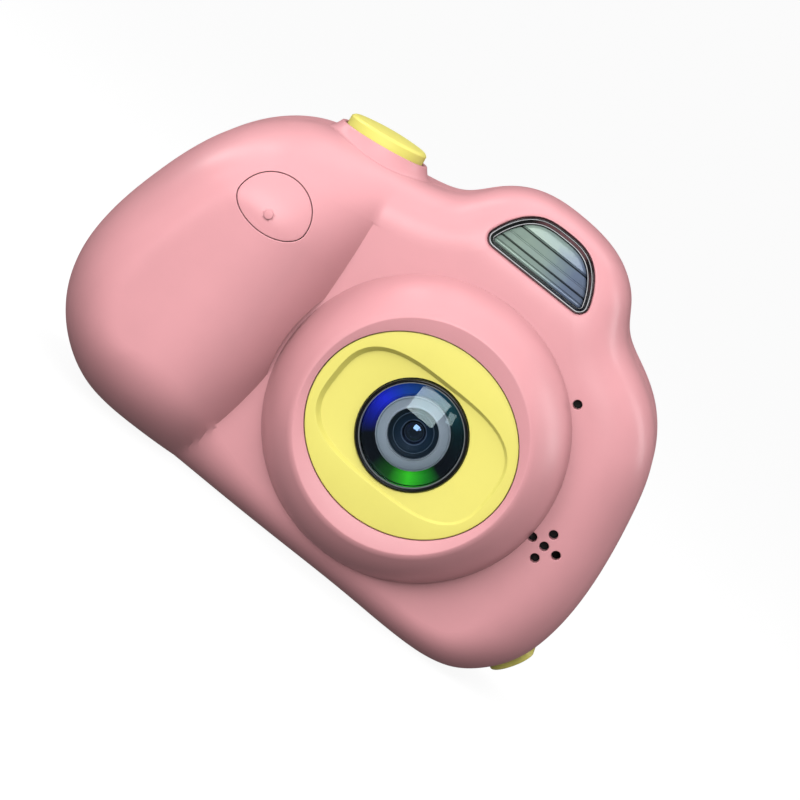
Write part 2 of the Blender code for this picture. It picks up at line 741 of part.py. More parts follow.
def build_screen():
    centre = (SCREEN_X, SCREEN_Z)
    window = rounded_rectangle(centre, *SCREEN_SIZE, 2.7)
    plate("screen_window", window, 14.2, 14.9, "screen_glass")
    panel = rounded_rectangle(centre, 40.4, 30.0, 0.8, 2)
    plate("lcd_panel", panel, 9.0, 11.4, "silver")
    outer = rounded_rectangle(centre, 39.6, 29.2, 1.5, 2)
    inner = rounded_rectangle(centre, 37.0, 26.6, 1.0, 2)
    rings = [
        [(x, y, z) for x, z in edge]
        for edge, y in ((outer, 11.7), (outer, 12.9), (inner, 12.9), (inner, 11.7))
    ]
    loft("screen_gasket", rings, "black_plastic", hollow=True)


def build_rear_buttons():
    for name, (x, z) in REAR_BUTTONS.items():
        profile = (
            (1.1, 11.4), (1.1, 12.0), (3.1, 12.0), (3.1, 12.8), (BUTTON_R, 12.8),
            (BUTTON_R, BUTTON_FACE_Y - 0.35), (BUTTON_R - 0.4, BUTTON_FACE_Y),
        )  # fmt: skip
        turned(name, profile, (x, 0.0, z), (0, 1, 0), "yellow_plastic", count=14)
        switch = name.replace("button", "switch")
        body = rounded_rectangle((x, z), 4.0, 4.0, 0.4, 1)
        plunger = ellipse((x, z), 1.0, 1.0, 8)
        obj = plate(switch, body, BOARD_Y[1] + GAP, 10.3, "black_plastic")
        join(obj, plate(switch + "_plunger", plunger, 10.0, 10.7, "black_plastic"))
    light = ((1.0, 9.2), (1.0, 14.4), (0.6, 14.7))
    turned("status_light", light, (LIGHT_XZ[0], 0.0, LIGHT_XZ[1]), (0, 1, 0), "clear_lens", count=12)


# Electronics


def ribbon(name, path, x_low, x_high, thickness=0.3):
    """A flat cable that follows y, z points, between two x values."""
    rings = []
    for i, (y, z) in enumerate(path):
        before = path[max(i - 1, 0)]
        after = path[min(i + 1, len(path) - 1)]
        dy = after[0] - before[0]
        dz = after[1] - before[1]
        scale = thickness / 2 / math.hypot(dy, dz)
        ny = -dz * scale
        nz = dy * scale
        near = [(x_low, y + ny, z + nz), (x_high, y + ny, z + nz)]
        far = [(x_high, y - ny, z - nz), (x_low, y - ny, z - nz)]
        rings.append(near + far)
    loft(name, rings, "ribbon_film")


def wire(name, route, radius):
    """A round lead along a smooth curve through its route."""
    curve = bpy.data.curves.new(name, "CURVE")
    curve.dimensions = "3D"
    curve.bevel_depth = radius * MM
    curve.bevel_resolution = 1
    curve.resolution_u = 4
    curve.use_fill_caps = True
    spline = curve.splines.new("NURBS")
    spline.points.add(len(route) - 1)
    for point, place in zip(spline.points, route, strict=True):
        point.co = (*(c * MM for c in place), 1.0)
    spline.order_u = 4
    spline.use_endpoint_u = True
    curve.materials.append(material_named("black_plastic"))
    bpy.context.collection.objects.link(bpy.data.objects.new(name, curve))


def build_boards():
    board = (
        (-29.8, 9.5), (30.6, 9.5), (30.6, 39.9), (-26.9, 39.9), (-26.9, 34.8), (-31.5, 34.8),
        (-31.5, 14.0), (-29.8, 14.0),
    )  # fmt: skip
    main = plate("main_board", board, *BOARD_Y, "board_green")
    for i, place in enumerate(BOARD_SCREWS, 1):
        cut(main, pin_hole(f"main_board_hole_{i}", place, 1.2, 6, 10))
        turned(
            f"board_screw_{i}",
            ((0.8, 2.0), (0.8, 8.9), (1.8, 8.9), (1.8, 9.8), (1.3, 10.1)),
            (place[0], 0.0, place[1]),
            (0, 1, 0),
            "steel",
            count=12,
        )
    ribbon("camera_ribbon", ((-6.8, 27), (-3, 28.5), (0, 31), (3, 33.5), (7.1, 34)), 5.0, 13.0)
    path = ((10.4, 8.3), (9.6, 7.9), (8.0, 7.8), (6.9, 8.4), (6.7, 12))
    ribbon("screen_ribbon", path, -5.0, 8.0)
    wire("battery_lead", BATTERY_LEAD, 0.6)


def build_power_and_sound():
    cell = rounded_rectangle((-24.8, 19.5), 13.2, 23.0, 1.5, 3)
    plate("battery", cell, -14.0, -8.0, "cell_wrap")
    disc = ((5.0, 6.5), (5.0, 9.2), (4.2, 9.6), (1.0, 9.6))
    turned("speaker", disc, (28.4, 0.0, SPEAKER_XZ[1]), (0, -1, 0), "black_plastic", count=24)
    capsule = ((2.0, 8.0), (2.0, 9.7))
    turned("microphone", capsule, (MIC_XZ[0], 0.0, MIC_XZ[1]), (0, -1, 0), "silver", count=16)


def build_usb_port():
    centre = (FLAP_CENTRE[0], USB_Z)
    port = plate("usb_port", rounded_rectangle(centre, 7.6, 2.9, 0.6, 2), -16.9, -12.2, "steel")
    mouth = rounded_rectangle(centre, 6.9, 2.2, 0.4, 2)
    cut(port, plate("usb_mouth_cutter", mouth, -19, -13.2, "steel"))
    plate("usb_board", rounded_rectangle(centre, 9.0, 6.0, 0.6, 2), -11.9, -10.9, "board_green")


def build_card_slot():
    """The card, and the socket that holds it on the far side of the card cover."""
    length, width, thickness = CARD_SIZE
    middle = (COVER_Y[0] + COVER_Y[1]) / 2
    slot_half = width / 2 + SLOT_GAP
    socket_half = slot_half + SOCKET_WALL
    outside = rounded_rectangle((25.3, CARD_Z), 15.4, 2.8, 0.3, 1)
    inside = rounded_rectangle((27.0, CARD_Z), 17.0, 1.4, 0.1, 1)
    socket = plate("card_socket", outside, middle - socket_half, middle + socket_half, "steel")
    cut(socket, plate("slot_cutter", inside, middle - slot_half, middle + slot_half, "steel"))
    card = rounded_rectangle((26.7, CARD_Z), length, thickness, 0.1, 1)
    plate("memory_card", card, middle - width / 2, middle + width / 2, "black_plastic")


def build_cover_screws():
    for i, (x, z) in enumerate(COVER_SCREWS, 1):
        profile = ((0.5, -3.8), (0.85, -3.2), (0.85, 11.1), (1.75, 11.1), (1.75, 11.9), (1.2, 12.2))
        turned(f"cover_screw_{i}", profile, (x, 0.0, z), (0, 1, 0), "steel", count=12)


def gather_under_empty():
    """Every piece hangs from one empty at the frame's origin."""
    holder = bpy.data.objects.new("kids_camera", None)
    bpy.context.collection.objects.link(holder)
    for obj in bpy.data.objects:
        if obj is not holder:
            obj.parent = holder


def main():
    clear_scene()
    build_shells()
    build_lens_ring()
    build_lens_bezel()
    build_lens_stack()
    build_flash()
    build_shutter()
    build_grip_flap()
    build_card_cover()
    build_screen()
    build_rear_buttons()
    build_boards()
    build_power_and_sound()
    build_usb_port()
    build_card_slot()
    build_cover_screws()
    gather_under_empty()


main()
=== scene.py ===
"""Looks of the kids digital camera: fine surfaces, materials, studio and camera.

Frame: +Z up, the lens looks along -Y. Lengths below are millimetres unless a name says otherwise.
"""

import cmath
import math

import bmesh
import bpy
import numpy as np
from mathutils import Matrix, Vector
from mathutils.bvhtree import BVHTree


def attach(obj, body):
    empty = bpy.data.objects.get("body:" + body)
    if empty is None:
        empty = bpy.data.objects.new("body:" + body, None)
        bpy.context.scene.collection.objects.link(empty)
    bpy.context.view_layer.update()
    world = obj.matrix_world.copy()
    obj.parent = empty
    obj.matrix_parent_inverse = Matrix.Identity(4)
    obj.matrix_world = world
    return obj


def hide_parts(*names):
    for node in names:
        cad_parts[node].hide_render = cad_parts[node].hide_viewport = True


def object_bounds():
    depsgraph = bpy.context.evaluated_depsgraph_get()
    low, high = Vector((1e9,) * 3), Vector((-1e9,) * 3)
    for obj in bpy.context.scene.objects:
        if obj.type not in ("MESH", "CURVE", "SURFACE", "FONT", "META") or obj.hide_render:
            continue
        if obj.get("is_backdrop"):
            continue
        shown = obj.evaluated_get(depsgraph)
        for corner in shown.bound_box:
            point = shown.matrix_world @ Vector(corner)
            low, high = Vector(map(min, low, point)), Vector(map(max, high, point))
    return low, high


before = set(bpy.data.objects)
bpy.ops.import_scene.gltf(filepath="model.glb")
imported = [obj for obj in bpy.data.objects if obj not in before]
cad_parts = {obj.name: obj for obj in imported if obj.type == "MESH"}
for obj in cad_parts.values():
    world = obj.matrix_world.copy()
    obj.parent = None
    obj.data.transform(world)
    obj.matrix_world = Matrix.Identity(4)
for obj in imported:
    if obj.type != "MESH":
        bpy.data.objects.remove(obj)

cad_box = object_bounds()

MM = 0.001
TAU = 2 * math.pi

# Body surface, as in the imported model
FRONT_DEPTH = 12.0
REAR_DEPTH = 15.0
WALL = 1.8
PARTING_Y = 1.0
SEAM = 0.06  # half the gap between the two covers
FRONT_SIDE = 3.0
REAR_SIDE = 7.0
REAR_ROUND = 7.0
HUMP_FOOT_Z = 47.0
HUMP_LEAN = 0.30
REAR_LEAN = 0.22
GRIP_BULGE = 8.5
GRIP_CREST_X = -23.5
GRIP_FOOT_X = -10.3  # where the grip's foot lies furthest right
GRIP_FOOT_Z = 19.0
GRIP_FADE_Z = (33.0, 50.0)
SHELL_CENTRE = (4.0, 27.0)
OUTLINE_POINTS = 400
EDGE_STEPS = 18
FOOT_STEPS = 34  # rings from the edge to the foot of the grip
FACE_STEPS = 40  # rings from there to the middle

# The outline at the parting plane: x, z, and how far in the front edge rounding reaches
OUTLINE = (
    (2.0, -0.35, 5.0), (16.0, -0.35, 5.0), (26.5, -0.35, 5.0), (32.0, 0.95, 6.0),
    (35.6, 3.8, 7.0), (38.0, 7.4, 8.0), (39.2, 11.6, 8.0), (39.6, 17.2, 8.0),
    (39.1, 23.5, 8.0), (37.7, 31.0, 8.0), (35.4, 38.0, 7.5), (31.6, 43.0, 7.0),
    (27.0, 46.0, 6.5), (23.0, 48.4, 6.0), (20.2, 52.4, 5.0), (16.3, 55.4, 3.4),
    (9.0, 56.8, 2.8), (1.9, 55.9, 3.4), (-2.2, 53.2, 5.0), (-5.6, 49.6, 6.0),
    (-9.6, 48.1, 6.0), (-17.3, 46.95, 5.5), (-24.6, 45.7, 6.0), (-30.2, 42.2, 8.0),
    (-35.1, 35.5, 9.0), (-38.1, 27.1, 9.0), (-39.6, 19.5, 9.0), (-39.3, 12.6, 9.0),
    (-37.1, 7.3, 9.0), (-32.9, 2.9, 9.0), (-28.0, 0.4, 10.0), (-20.0, -0.35, 10.5),
    (-10.0, -0.35, 7.0),
)

# Lens group
LENS_X = 8.9
LENS_Z = 23.4
LENS_HOLE_R = 17.3
RING_SEAT_R = 20.32
BEZEL_HALF = (14.1, 12.65)
BEZEL_FACE_Y = -19.3

# Flash plane
FLASH_FOOT = (8.48, -11.85, 47.75)
FLASH_LEAN = math.radians(20)
FLASH_HALF_X = 7.85
FLASH_HEIGHT = 7.5
FLASH_CORNER = 1.3
FLASH_WINDOW_INSET = 0.82

# Small openings
MIC_XZ = (22.95, 38.8)
SPEAKER_XZ = (31.0, 21.9)
SPEAKER_PITCH = 1.92
SPEAKER_CROSS = ((0, 0), (1, 0), (-1, 0), (0, 1), (0, -1))
HOLE_R = 0.62
RIM_STEPS = 6  # rows round the rim of an opening

# Shutter button
SHUTTER_TOP = (-17.35, 0.0, 48.37)
SHUTTER_LEAN = math.radians(8.4)
SHUTTER_R = 5.55
COLLAR_HOLE_R = 6.9

# Grip flap
FLAP_CENTRE = (-22.45, 34.7)
FLAP_HALF_X = 5.0
FLAP_RISE = 4.65
FLAP_DROP = 2.9
FLAP_THICK = 1.5
NUB_Z = 34.15

# Card cover
COVER_Z = (3.7, 8.7)
COVER_Y = (-2.35, 9.35)
COVER_CORNER = 2.3
COVER_STAND = 0.98  # how far the cover stands out from the body
COVER_REACH = 0.9  # and how far it reaches in

# Rear face
SCREEN_XZ = (9.0, 23.6)
SCREEN_SIZE = (41.4, 31.0)
BUTTON_R = 2.6
BUTTON_GAP = 0.16
BUTTON_FACE_Y = 16.0
REAR_BUTTONS = {
    "up_button": (-22.9, 27.6), "down_button": (-22.9, 14.4), "left_button": (-16.3, 21.0),
    "right_button": (-29.5, 21.0), "ok_button": (-22.9, 21.0), "power_button": (-18.2, 37.6),
    "mode_button": (-24.8, 34.8),
}
LIGHT_XZ = (-12.8, 42.0)
LIGHT_HOLE_R = 1.05
BOARD_SCREWS = ((-16.0, 31.2), (-15.2, 10.8))
COVER_SCREWS = ((-33.5, 10.5), (-30.5, 38.2), (26.0, 43.4), (34.5, 13.5))
HEAD_POCKET_R = 2.1
SCREW_SEAT_Y = 10.8


# Mesh helpers


def turns(count):
    return [TAU * i / count for i in range(count)]


def at_depth(flat, y):
    """Points with a y, from flat x, z points."""
    return np.column_stack([flat[:, 0], np.broadcast_to(y, len(flat)), flat[:, 1]])


def run_length(points):
    """The length from the first point to each one."""
    return np.concatenate([[0], np.cumsum(np.hypot(*np.diff(points[:, :2], axis=0).T))])


def points_along(where, length, points):
    """The points, or any columns that go with them, at some lengths along the line."""
    return np.stack([np.interp(where, length, column) for column in points.T], axis=1)


def rounded_edge(radius, steps, first=0.0):
    """How far in and how far along each row of a rounded edge lies, from the face to the side."""
    angles = [first + (math.pi / 2 - first) * k / steps for k in range(steps + 1)]
    return [(radius * (1 - math.sin(t)), radius * (1 - math.cos(t))) for t in angles]


def ray_tree(objects):
    shape = bmesh.new()
    for obj in objects:
        shape.from_mesh(obj.data)
    tree = BVHTree.FromBMesh(shape)
    shape.free()
    return tree


def add_object(name, data):
    obj = bpy.data.objects.new(name, data)
    bpy.context.scene.collection.objects.link(obj)
    return obj


def make_object(name, points, faces, sharp=30):
    mesh = bpy.data.meshes.new(name)
    mesh.from_pydata((np.asarray(points, float) * MM).tolist(), [], faces)
    shape = bmesh.new()
    shape.from_mesh(mesh)
    bmesh.ops.recalc_face_normals(shape, faces=shape.faces)
    if shape.calc_volume(signed=True) < 0:
        bmesh.ops.reverse_faces(shape, faces=shape.faces)
    shape.to_mesh(mesh)
    shape.free()
    mesh.shade_smooth()
    mesh.set_sharp_from_angle(angle=math.radians(sharp))
    return add_object(name, mesh)


def loft(name, rings, hollow=False, sharp=30):
    """A solid through closed rings of equal count; hollow joins the last ring to the first."""
    rows = len(rings)
    count = len(rings[0])
    points = np.concatenate([np.asarray(ring, float) for ring in rings])
    faces = []
    for row in range(rows if hollow else rows - 1):
        low = row * count
        high = ((row + 1) % rows) * count
        for i in range(count):
            j = (i + 1) % count
            faces.append((low + i, low + j, high + j, high + i))
    if not hollow:
        for row in (0, rows - 1):
            centre = len(points)
            start = row * count
            points = np.vstack([points, points[start : start + count].mean(axis=0)])
            faces.extend((start + i, start + (i + 1) % count, centre) for i in range(count))
    return make_object(name, points, faces, sharp)


def rounded(profile, closed=False, steps=6):
    """A profile of (a, b, radius) corners as (a, b) points, each corner with its radius turned."""
    corners = [complex(a, b) for a, b, _ in profile]
    out = []
    for i, here in enumerate(corners):
        radius = profile[i][2]
        if radius <= 0 or (not closed and i in (0, len(corners) - 1)):
            out.append(here)
            continue
        before = corners[i - 1] - here
        after = corners[(i + 1) % len(corners)] - here
        shorter = min(abs(before), abs(after))
        before /= abs(before)
        after /= abs(after)
        half = math.acos(min(max((before * after.conjugate()).real, -1), 1)) / 2
        if half > math.radians(88):
            out.append(here)
            continue
        reach = min(radius / math.tan(half), 0.49 * shorter)
        centre = here + (before + after) / abs(before + after) * reach / math.cos(half)
        spoke = here + before * reach - centre
        sweep = math.copysign(math.pi - 2 * half, (spoke.conjugate() * (here - centre)).imag)
        out.extend(centre + spoke * cmath.rect(1, sweep * k / steps) for k in range(steps + 1))
    return [np.array((point.real, point.imag)) for point in out]


def lathe(name, profile, centre, axis, count=96, hollow=False):
    """A turned piece: profile holds (radius, height along axis from centre)."""
    along = Vector(axis).normalized()
    side = along.orthogonal().normalized()
    other = along.cross(side)
    spokes = np.array([side * math.cos(t) + other * math.sin(t) for t in turns(count)])
    rings = [np.array(Vector(centre) + along * float(h)) + spokes * float(r) for r, h in profile]
    return loft(name, rings, hollow)


def outward(outline):
    """Unit normals that point out of an anticlockwise x, z outline."""
    outline = np.asarray(outline, float)[:, :2]
    along = np.roll(outline, -1, axis=0) - np.roll(outline, 1, axis=0)
    along /= np.hypot(along[:, 0], along[:, 1])[:, None]
    return np.stack([along[:, 1], -along[:, 0]], axis=1)


def slab(name, outline, y_low, y_high, low_round=0.0, high_round=0.0, steps=5):
    """A plate with an x, z outline whose two faces have rounded edges."""
    outline = np.asarray(outline, float)
    normals = outward(outline)
    low = rounded_edge(low_round, steps) if low_round else [(0.0, 0.0)]
    high = rounded_edge(high_round, steps)[::-1] if high_round else [(0.0, 0.0)]
    rows = [(shrink, y_low + rise) for shrink, rise in low]
    rows += [(shrink, y_high - drop) for shrink, drop in high]
    return loft(name, [at_depth(outline - normals * shrink, y) for shrink, y in rows])


def circle(centre, radius, count=96):
    x, z = centre
    return np.array([(x + radius * math.cos(t), z + radius * math.sin(t)) for t in turns(count)])


def rounded_rectangle(centre, width, height, radius, steps=10, side_steps=6):
    """An anticlockwise outline with arcs at its corners and points along its sides."""
    arcs = []
    for quarter, (sx, sz) in enumerate(((1, 1), (-1, 1), (-1, -1), (1, -1))):
        cx = centre[0] + sx * (width / 2 - radius)
        cz = centre[1] + sz * (height / 2 - radius)
        angles = [math.pi / 2 * (quarter + i / steps) for i in range(steps + 1)]
        arcs.append([(cx + radius * math.cos(t), cz + radius * math.sin(t)) for t in angles])
    points = []
    for arc, following in zip(arcs, arcs[1:] + arcs[:1]):
        points.extend(arc)
        start = np.array(arc[-1])
        end = np.array(following[0])
        points.extend(tuple(start + (end - start) * k / side_steps) for k in range(1, side_steps))
    return np.array(points)


def boolean(target, other, operation="DIFFERENCE"):
    """Applies a Boolean to target and removes the other mesh."""
    modifier = target.modifiers.new("cut", "BOOLEAN")
    modifier.operation = operation
    modifier.solver = "MANIFOLD"
    modifier.object = other
    graph = bpy.context.evaluated_depsgraph_get()
    result = bpy.data.meshes.new_from_object(target.evaluated_get(graph))
    target.modifiers.clear()
    target.data = result
    bpy.data.objects.remove(other, do_unlink=True)


def merge(objects, name):
    """Joins separate meshes into one object without a union."""
    shape = bmesh.new()
    for obj in objects:
        shape.from_mesh(obj.data)
    mesh = bpy.data.meshes.new(name)
    shape.to_mesh(mesh)
    shape.free()
    for obj in objects:
        bpy.data.objects.remove(obj, do_unlink=True)
    return add_object(name, mesh)


# The body's surface


def smooth_step(low, high, value):
    t = np.clip((value - low) / (high - low), 0.0, 1.0)
    return t * t * (3 - 2 * t)


def closed_spline(knots):
    """Closely spaced points on the smooth closed curve through knots."""
    knots = np.array(knots)
    steps = np.hypot(*(np.roll(knots, -1, axis=0) - knots)[:, :2].T)
    size = len(knots)
    system = np.zeros((size, size))
    right = np.zeros_like(knots)
    for i in range(size):
        before = steps[i - 1]
        after = steps[i]
        system[i, i - 1] += before
        system[i, i] += 2 * (before + after)
        system[i, (i + 1) % size] += after
        rise = (knots[(i + 1) % size] - knots[i]) / after
        right[i] = 6 * (rise - (knots[i] - knots[i - 1]) / before)
    bends = np.linalg.solve(system, right)
    fine = []
    for i in range(size):
        j = (i + 1) % size
        for t in np.arange(0, 1, 1 / 64):
            a = 1 - t
            bow = (a**3 - a) * bends[i] + (t**3 - t) * bends[j]
            fine.append(a * knots[i] + t * knots[j] + bow * steps[i] ** 2 / 6)
    return np.array(fine + [fine[0]])


def even_outline(count):
    """count evenly spaced outline points, with one of them on the foot of the grip's underside."""
    fine = closed_spline(OUTLINE)
    length = run_length(fine)
    low = fine[:, 1] < 5
    start = length[low][np.argmin(np.abs(fine[low, 0] - grip_foot(0.0)))]
    even = (start + np.linspace(0, length[-1], count, endpoint=False)) % length[-1]
    return points_along(even, length, fine)


def side_share(z):
    """1 on the body's sides, falling to 0 over the top of the hump."""
    return 1 - smooth_step(47.0, 55.0, z)


def hump_height(z):
    return np.log1p(np.exp(np.minimum((z - HUMP_FOOT_Z) * 1.5, 30.0))) / 1.5


def grip_foot(z):
    """Where the grip's flank meets the flat front, at a height."""
    return GRIP_FOOT_X - np.where(z > GRIP_FOOT_Z, 0.003, 0.009) * (z - GRIP_FOOT_Z) ** 2


def grip_rise(x, z):
    across = np.clip((x - GRIP_CREST_X) / (grip_foot(z) - GRIP_CREST_X), 0.0, 1.0)
    return GRIP_BULGE * (1 - across**2.4) * (1 - smooth_step(*GRIP_FADE_Z, z))


def edge_power(z):
    """How square the front edge's rounding is: near an ellipse on the sides, squarer on the hump."""
    return 2.0 + 0.25 * smooth_step(25.0, 40.0, z) + 0.95 * (1 - side_share(z))


def front_y(x, z, lift=1.0, side=FRONT_SIDE, wall=0.0):
    reach = side + (FRONT_DEPTH - wall - side) * lift
    reach = reach * (1 - HUMP_LEAN * hump_height(z) / FRONT_DEPTH)
    return -(reach + grip_rise(x, z) * lift)


def rear_y(z, lift=1.0, side=REAR_SIDE, wall=0.0):
    reach = side + (REAR_DEPTH - wall - side) * lift
    return reach * (1 - REAR_LEAN * hump_height(z) / REAR_DEPTH)


def edge_ring(outline, turn, wall, rear):
    """The ring at a turn of the rounded edge, from 0 on the side to 90 degrees on the face."""
    x, z, front_round = outline.T
    inward = -outward(outline)
    share = side_share(z)
    if rear:
        edge = np.minimum(REAR_ROUND, front_round + 1)
    else:
        edge = front_round + (np.maximum(front_round, 7.5) - front_round) * 0.6 * smooth_step(25.0, 40.0, z)
    power = 2.0 if rear else edge_power(z)
    shift = wall + (edge - wall) * (1 - math.cos(turn) ** (2 / power))
    lift = math.sin(turn) ** (2 / power)
    px = x + inward[:, 0] * shift
    pz = z + inward[:, 1] * shift
    if rear:
        y = rear_y(pz, lift, 0.6 + (REAR_SIDE - 0.6) * share, wall)
    else:
        y = front_y(px, pz, lift, 0.6 + (FRONT_SIDE - 0.6) * share, wall)
    return np.column_stack([px, y, pz])


def foot_share(ring):
    """For each ray to the middle, the share of its length at which it crosses the grip's foot."""
    x, _, z = ring.T
    share = np.zeros(len(x))
    for _ in range(6):
        crossing = grip_foot(z + (SHELL_CENTRE[1] - z) * share)
        share = np.clip((crossing - x) / (SHELL_CENTRE[0] - x), 0.0, 1.0)
    share[x >= SHELL_CENTRE[0]] = 0.0
    return np.maximum(share, 0.02)


def shell_surface(outline, wall, rear, rim_y, edge_steps, foot_steps, face_steps):
    rings = [at_depth(edge_ring(outline, 0.0, wall, rear)[:, ::2], rim_y)]
    for step in range(edge_steps + 1):
        rings.append(edge_ring(outline, math.pi / 2 * step / edge_steps, wall, rear))
    last = rings[-1]
    crossing = np.full(len(last), 0.4) if rear else foot_share(last)
    shares = [crossing * k / foot_steps for k in range(1, foot_steps + 1)]
    shares += [crossing + (0.99 - crossing) * k / face_steps for k in range(1, face_steps + 1)]
    for share in shares:
        x = last[:, 0] + (SHELL_CENTRE[0] - last[:, 0]) * share
        z = last[:, 2] + (SHELL_CENTRE[1] - last[:, 2]) * share
        y = rear_y(z, wall=wall) if rear else front_y(x, z, wall=wall)
        rings.append(np.column_stack([x, y, z]))
    return rings


def shell(name, rear):
    """One moulded cover: outer surface, a lip at the seam, and the inner surface."""
    outline = even_outline(OUTLINE_POINTS)
    side = 1 if rear else -1
    outer = shell_surface(outline, 0.0, rear, PARTING_Y + side * SEAM, EDGE_STEPS,
                          6 if rear else FOOT_STEPS, 10 if rear else FACE_STEPS)
    inner = shell_surface(outline, WALL, rear, PARTING_Y + side * SEAM, 6, 4, 6)
    inward = -outward(outline)
    rim = outer[0]

    def lip(inset, y):
        return at_depth(rim[:, ::2] + inward * inset, y)

    chamfer = 0.12
    outer[0] = lip(0.0, PARTING_Y + side * (SEAM + chamfer))
    reach = PARTING_Y - 1.2
    if rear:
        seam = [lip(chamfer, PARTING_Y + SEAM), lip(0.9, PARTING_Y + SEAM), lip(0.95, reach)]
        seam += [lip(WALL, reach)]
    else:
        seam = [lip(chamfer, PARTING_Y - SEAM), lip(0.82, PARTING_Y - SEAM), lip(0.86, reach - 0.1)]
        seam += [lip(WALL, reach - 0.1)]
        inner = inner[1:]
    return loft(name, outer[::-1] + seam + inner)


def surface_finder(obj):
    """A function that gives the y of the outermost surface at x, z, seen from front or rear."""
    tree = ray_tree([obj])

    def find(x, z, rear):
        start = Vector((x * MM, 0.06 if rear else -0.06, z * MM))
        hit = tree.ray_cast(start, Vector((0, -1 if rear else 1, 0)))[0]
        return hit.y / MM if hit else None

    return find


def opening(name, outline, find, rear, radius, depth):
    """A cutter for a hole with a rounded rim that follows the surface."""
    outline = np.asarray(outline, float)
    normals = outward(outline)
    side = -1 if rear else 1
    rings = []
    for offset, below in rounded_edge(radius, RIM_STEPS, math.radians(14)):
        flat = outline + normals * offset
        ys = [find(x, z, rear) for x, z in flat]
        known = [y for y in ys if y is not None]
        fallback = min(known) if rear else max(known)
        ys = np.array([fallback if y is None else y for y in ys])
        rings.append(at_depth(flat, ys + side * below))
    top = rings[0].copy()
    top[:, 1] -= side * 4.0
    bottom = rings[-1].copy()
    bottom[:, 1] = depth
    return loft(name, [top, *rings, bottom])


# Outlines


def flash_point(u, v, depth):
    """A point on the flash plane: u across, v up the plane, depth into the body."""
    x, y, z = FLASH_FOOT
    lean_y = v * math.sin(FLASH_LEAN) + depth * math.cos(FLASH_LEAN)
    lean_z = v * math.cos(FLASH_LEAN) - depth * math.sin(FLASH_LEAN)
    return (x + u, y + lean_y, z + lean_z)


def flash_outline(count=160):
    """A D on its flat side, as evenly spaced u, v points, anticlockwise."""
    right = [(0.0, 0.0)]
    for i in range(13):
        turn = -math.pi / 2 + math.pi / 2 * i / 12
        u = FLASH_HALF_X - FLASH_CORNER + FLASH_CORNER * math.cos(turn)
        right.append((u, FLASH_CORNER + FLASH_CORNER * math.sin(turn)))
    for i in range(1, 80):
        rise = 1 - (1 - i / 80) ** 3
        u = FLASH_HALF_X * (1 - rise**1.2) ** 0.33
        right.append((u, FLASH_CORNER + (FLASH_HEIGHT - FLASH_CORNER) * rise))
    right.append((0.0, FLASH_HEIGHT))
    loop = np.array(right + [(-u, v) for u, v in right[-2::-1]])
    length = run_length(loop)
    return points_along(np.linspace(0, length[-1], count, endpoint=False), length, loop)


def flap_outline(grow):
    points = []
    for turn in turns(120):
        rise = FLAP_RISE if math.sin(turn) > 0 else FLAP_DROP
        x = FLAP_CENTRE[0] + (FLAP_HALF_X + grow) * math.cos(turn)
        points.append((x, FLAP_CENTRE[1] + (rise + grow) * math.sin(turn)))
    return np.array(points)


def corner_run(low, high, count):
    """Outline points along the lower right corner between two heights, with outward normals."""
    fine = closed_spline(OUTLINE)[:-1]
    normals = outward(fine)
    picked = np.flatnonzero((fine[:, 0] > 0) & (fine[:, 1] >= low) & (fine[:, 1] <= high))
    steps = np.linspace(picked[0], picked[-1], count)
    index = np.arange(len(fine))
    return points_along(steps, index, fine[:, :2]), points_along(steps, index, normals)


def cover_outline(grow):
    """The card cover's rounded outline along the corner and across it, and how to wrap it there."""
    points, away = corner_run(COVER_Z[0] - 1, COVER_Z[1] + 1, 200)
    run = run_length(points)
    low, high = np.interp(COVER_Z, points[:, 1], run)
    middle = ((low + high) / 2, (COVER_Y[0] + COVER_Y[1]) / 2)
    size = (high - low + 2 * grow, COVER_Y[1] - COVER_Y[0] + 2 * grow)
    outline = rounded_rectangle(middle, *size, COVER_CORNER + grow)

    def place(flat, stand):
        moved = points_along(flat[:, 0], run, points) + points_along(flat[:, 0], run, away) * stand
        return at_depth(moved, flat[:, 1])

    return outline, place


def shutter_axis():
    return Vector((-math.sin(SHUTTER_LEAN), 0.0, math.cos(SHUTTER_LEAN)))


# Body


def bosses(name, centres, radius, y_end, rear):
    """Round bosses from y_end into the wall, ending a little under the outer surface."""
    core = loft(name, shell_surface(even_outline(200), 0.7, rear, y_end, 8, 14, 14))
    rods = [slab("rod", circle(centre, radius, 32), -40, 40) for centre in centres]
    boolean(core, merge(rods, "rods"), "INTERSECT")
    return core


def front_cutters(find):
    cutters = [slab("lens_cut", circle((LENS_X, LENS_Z), LENS_HOLE_R), -14.0, -6.0)]
    outline = flash_outline()
    edge = outline + outward(outline) * 0.12
    placed = np.array([flash_point(u, v, 0.0) for u, v in edge])
    flash = opening("flash_cut", placed[:, [0, 2]], find, False, 0.45, 0.0)
    deep = np.array(flash_point(0, 0, 6.0)) - np.array(flash_point(0, 0, 0.0))
    corners = flash.data.vertices
    for i, point in enumerate(placed):
        corners[(RIM_STEPS + 2) * len(placed) + i].co = Vector((point + deep) * MM)
    corners[len(corners) - 1].co = Vector((placed.mean(axis=0) + deep) * MM)
    cutters.append(flash)
    cutters.append(opening("flap_cut", flap_outline(0.1), find, False, 0.14, -14.0))
    holes = [np.array(SPEAKER_XZ) + np.array(step) * SPEAKER_PITCH for step in SPEAKER_CROSS]
    for centre in (MIC_XZ, *holes):
        cutters.append(opening("hole", circle(centre, HOLE_R, 32), find, False, 0.12, -8.0))
    return cutters


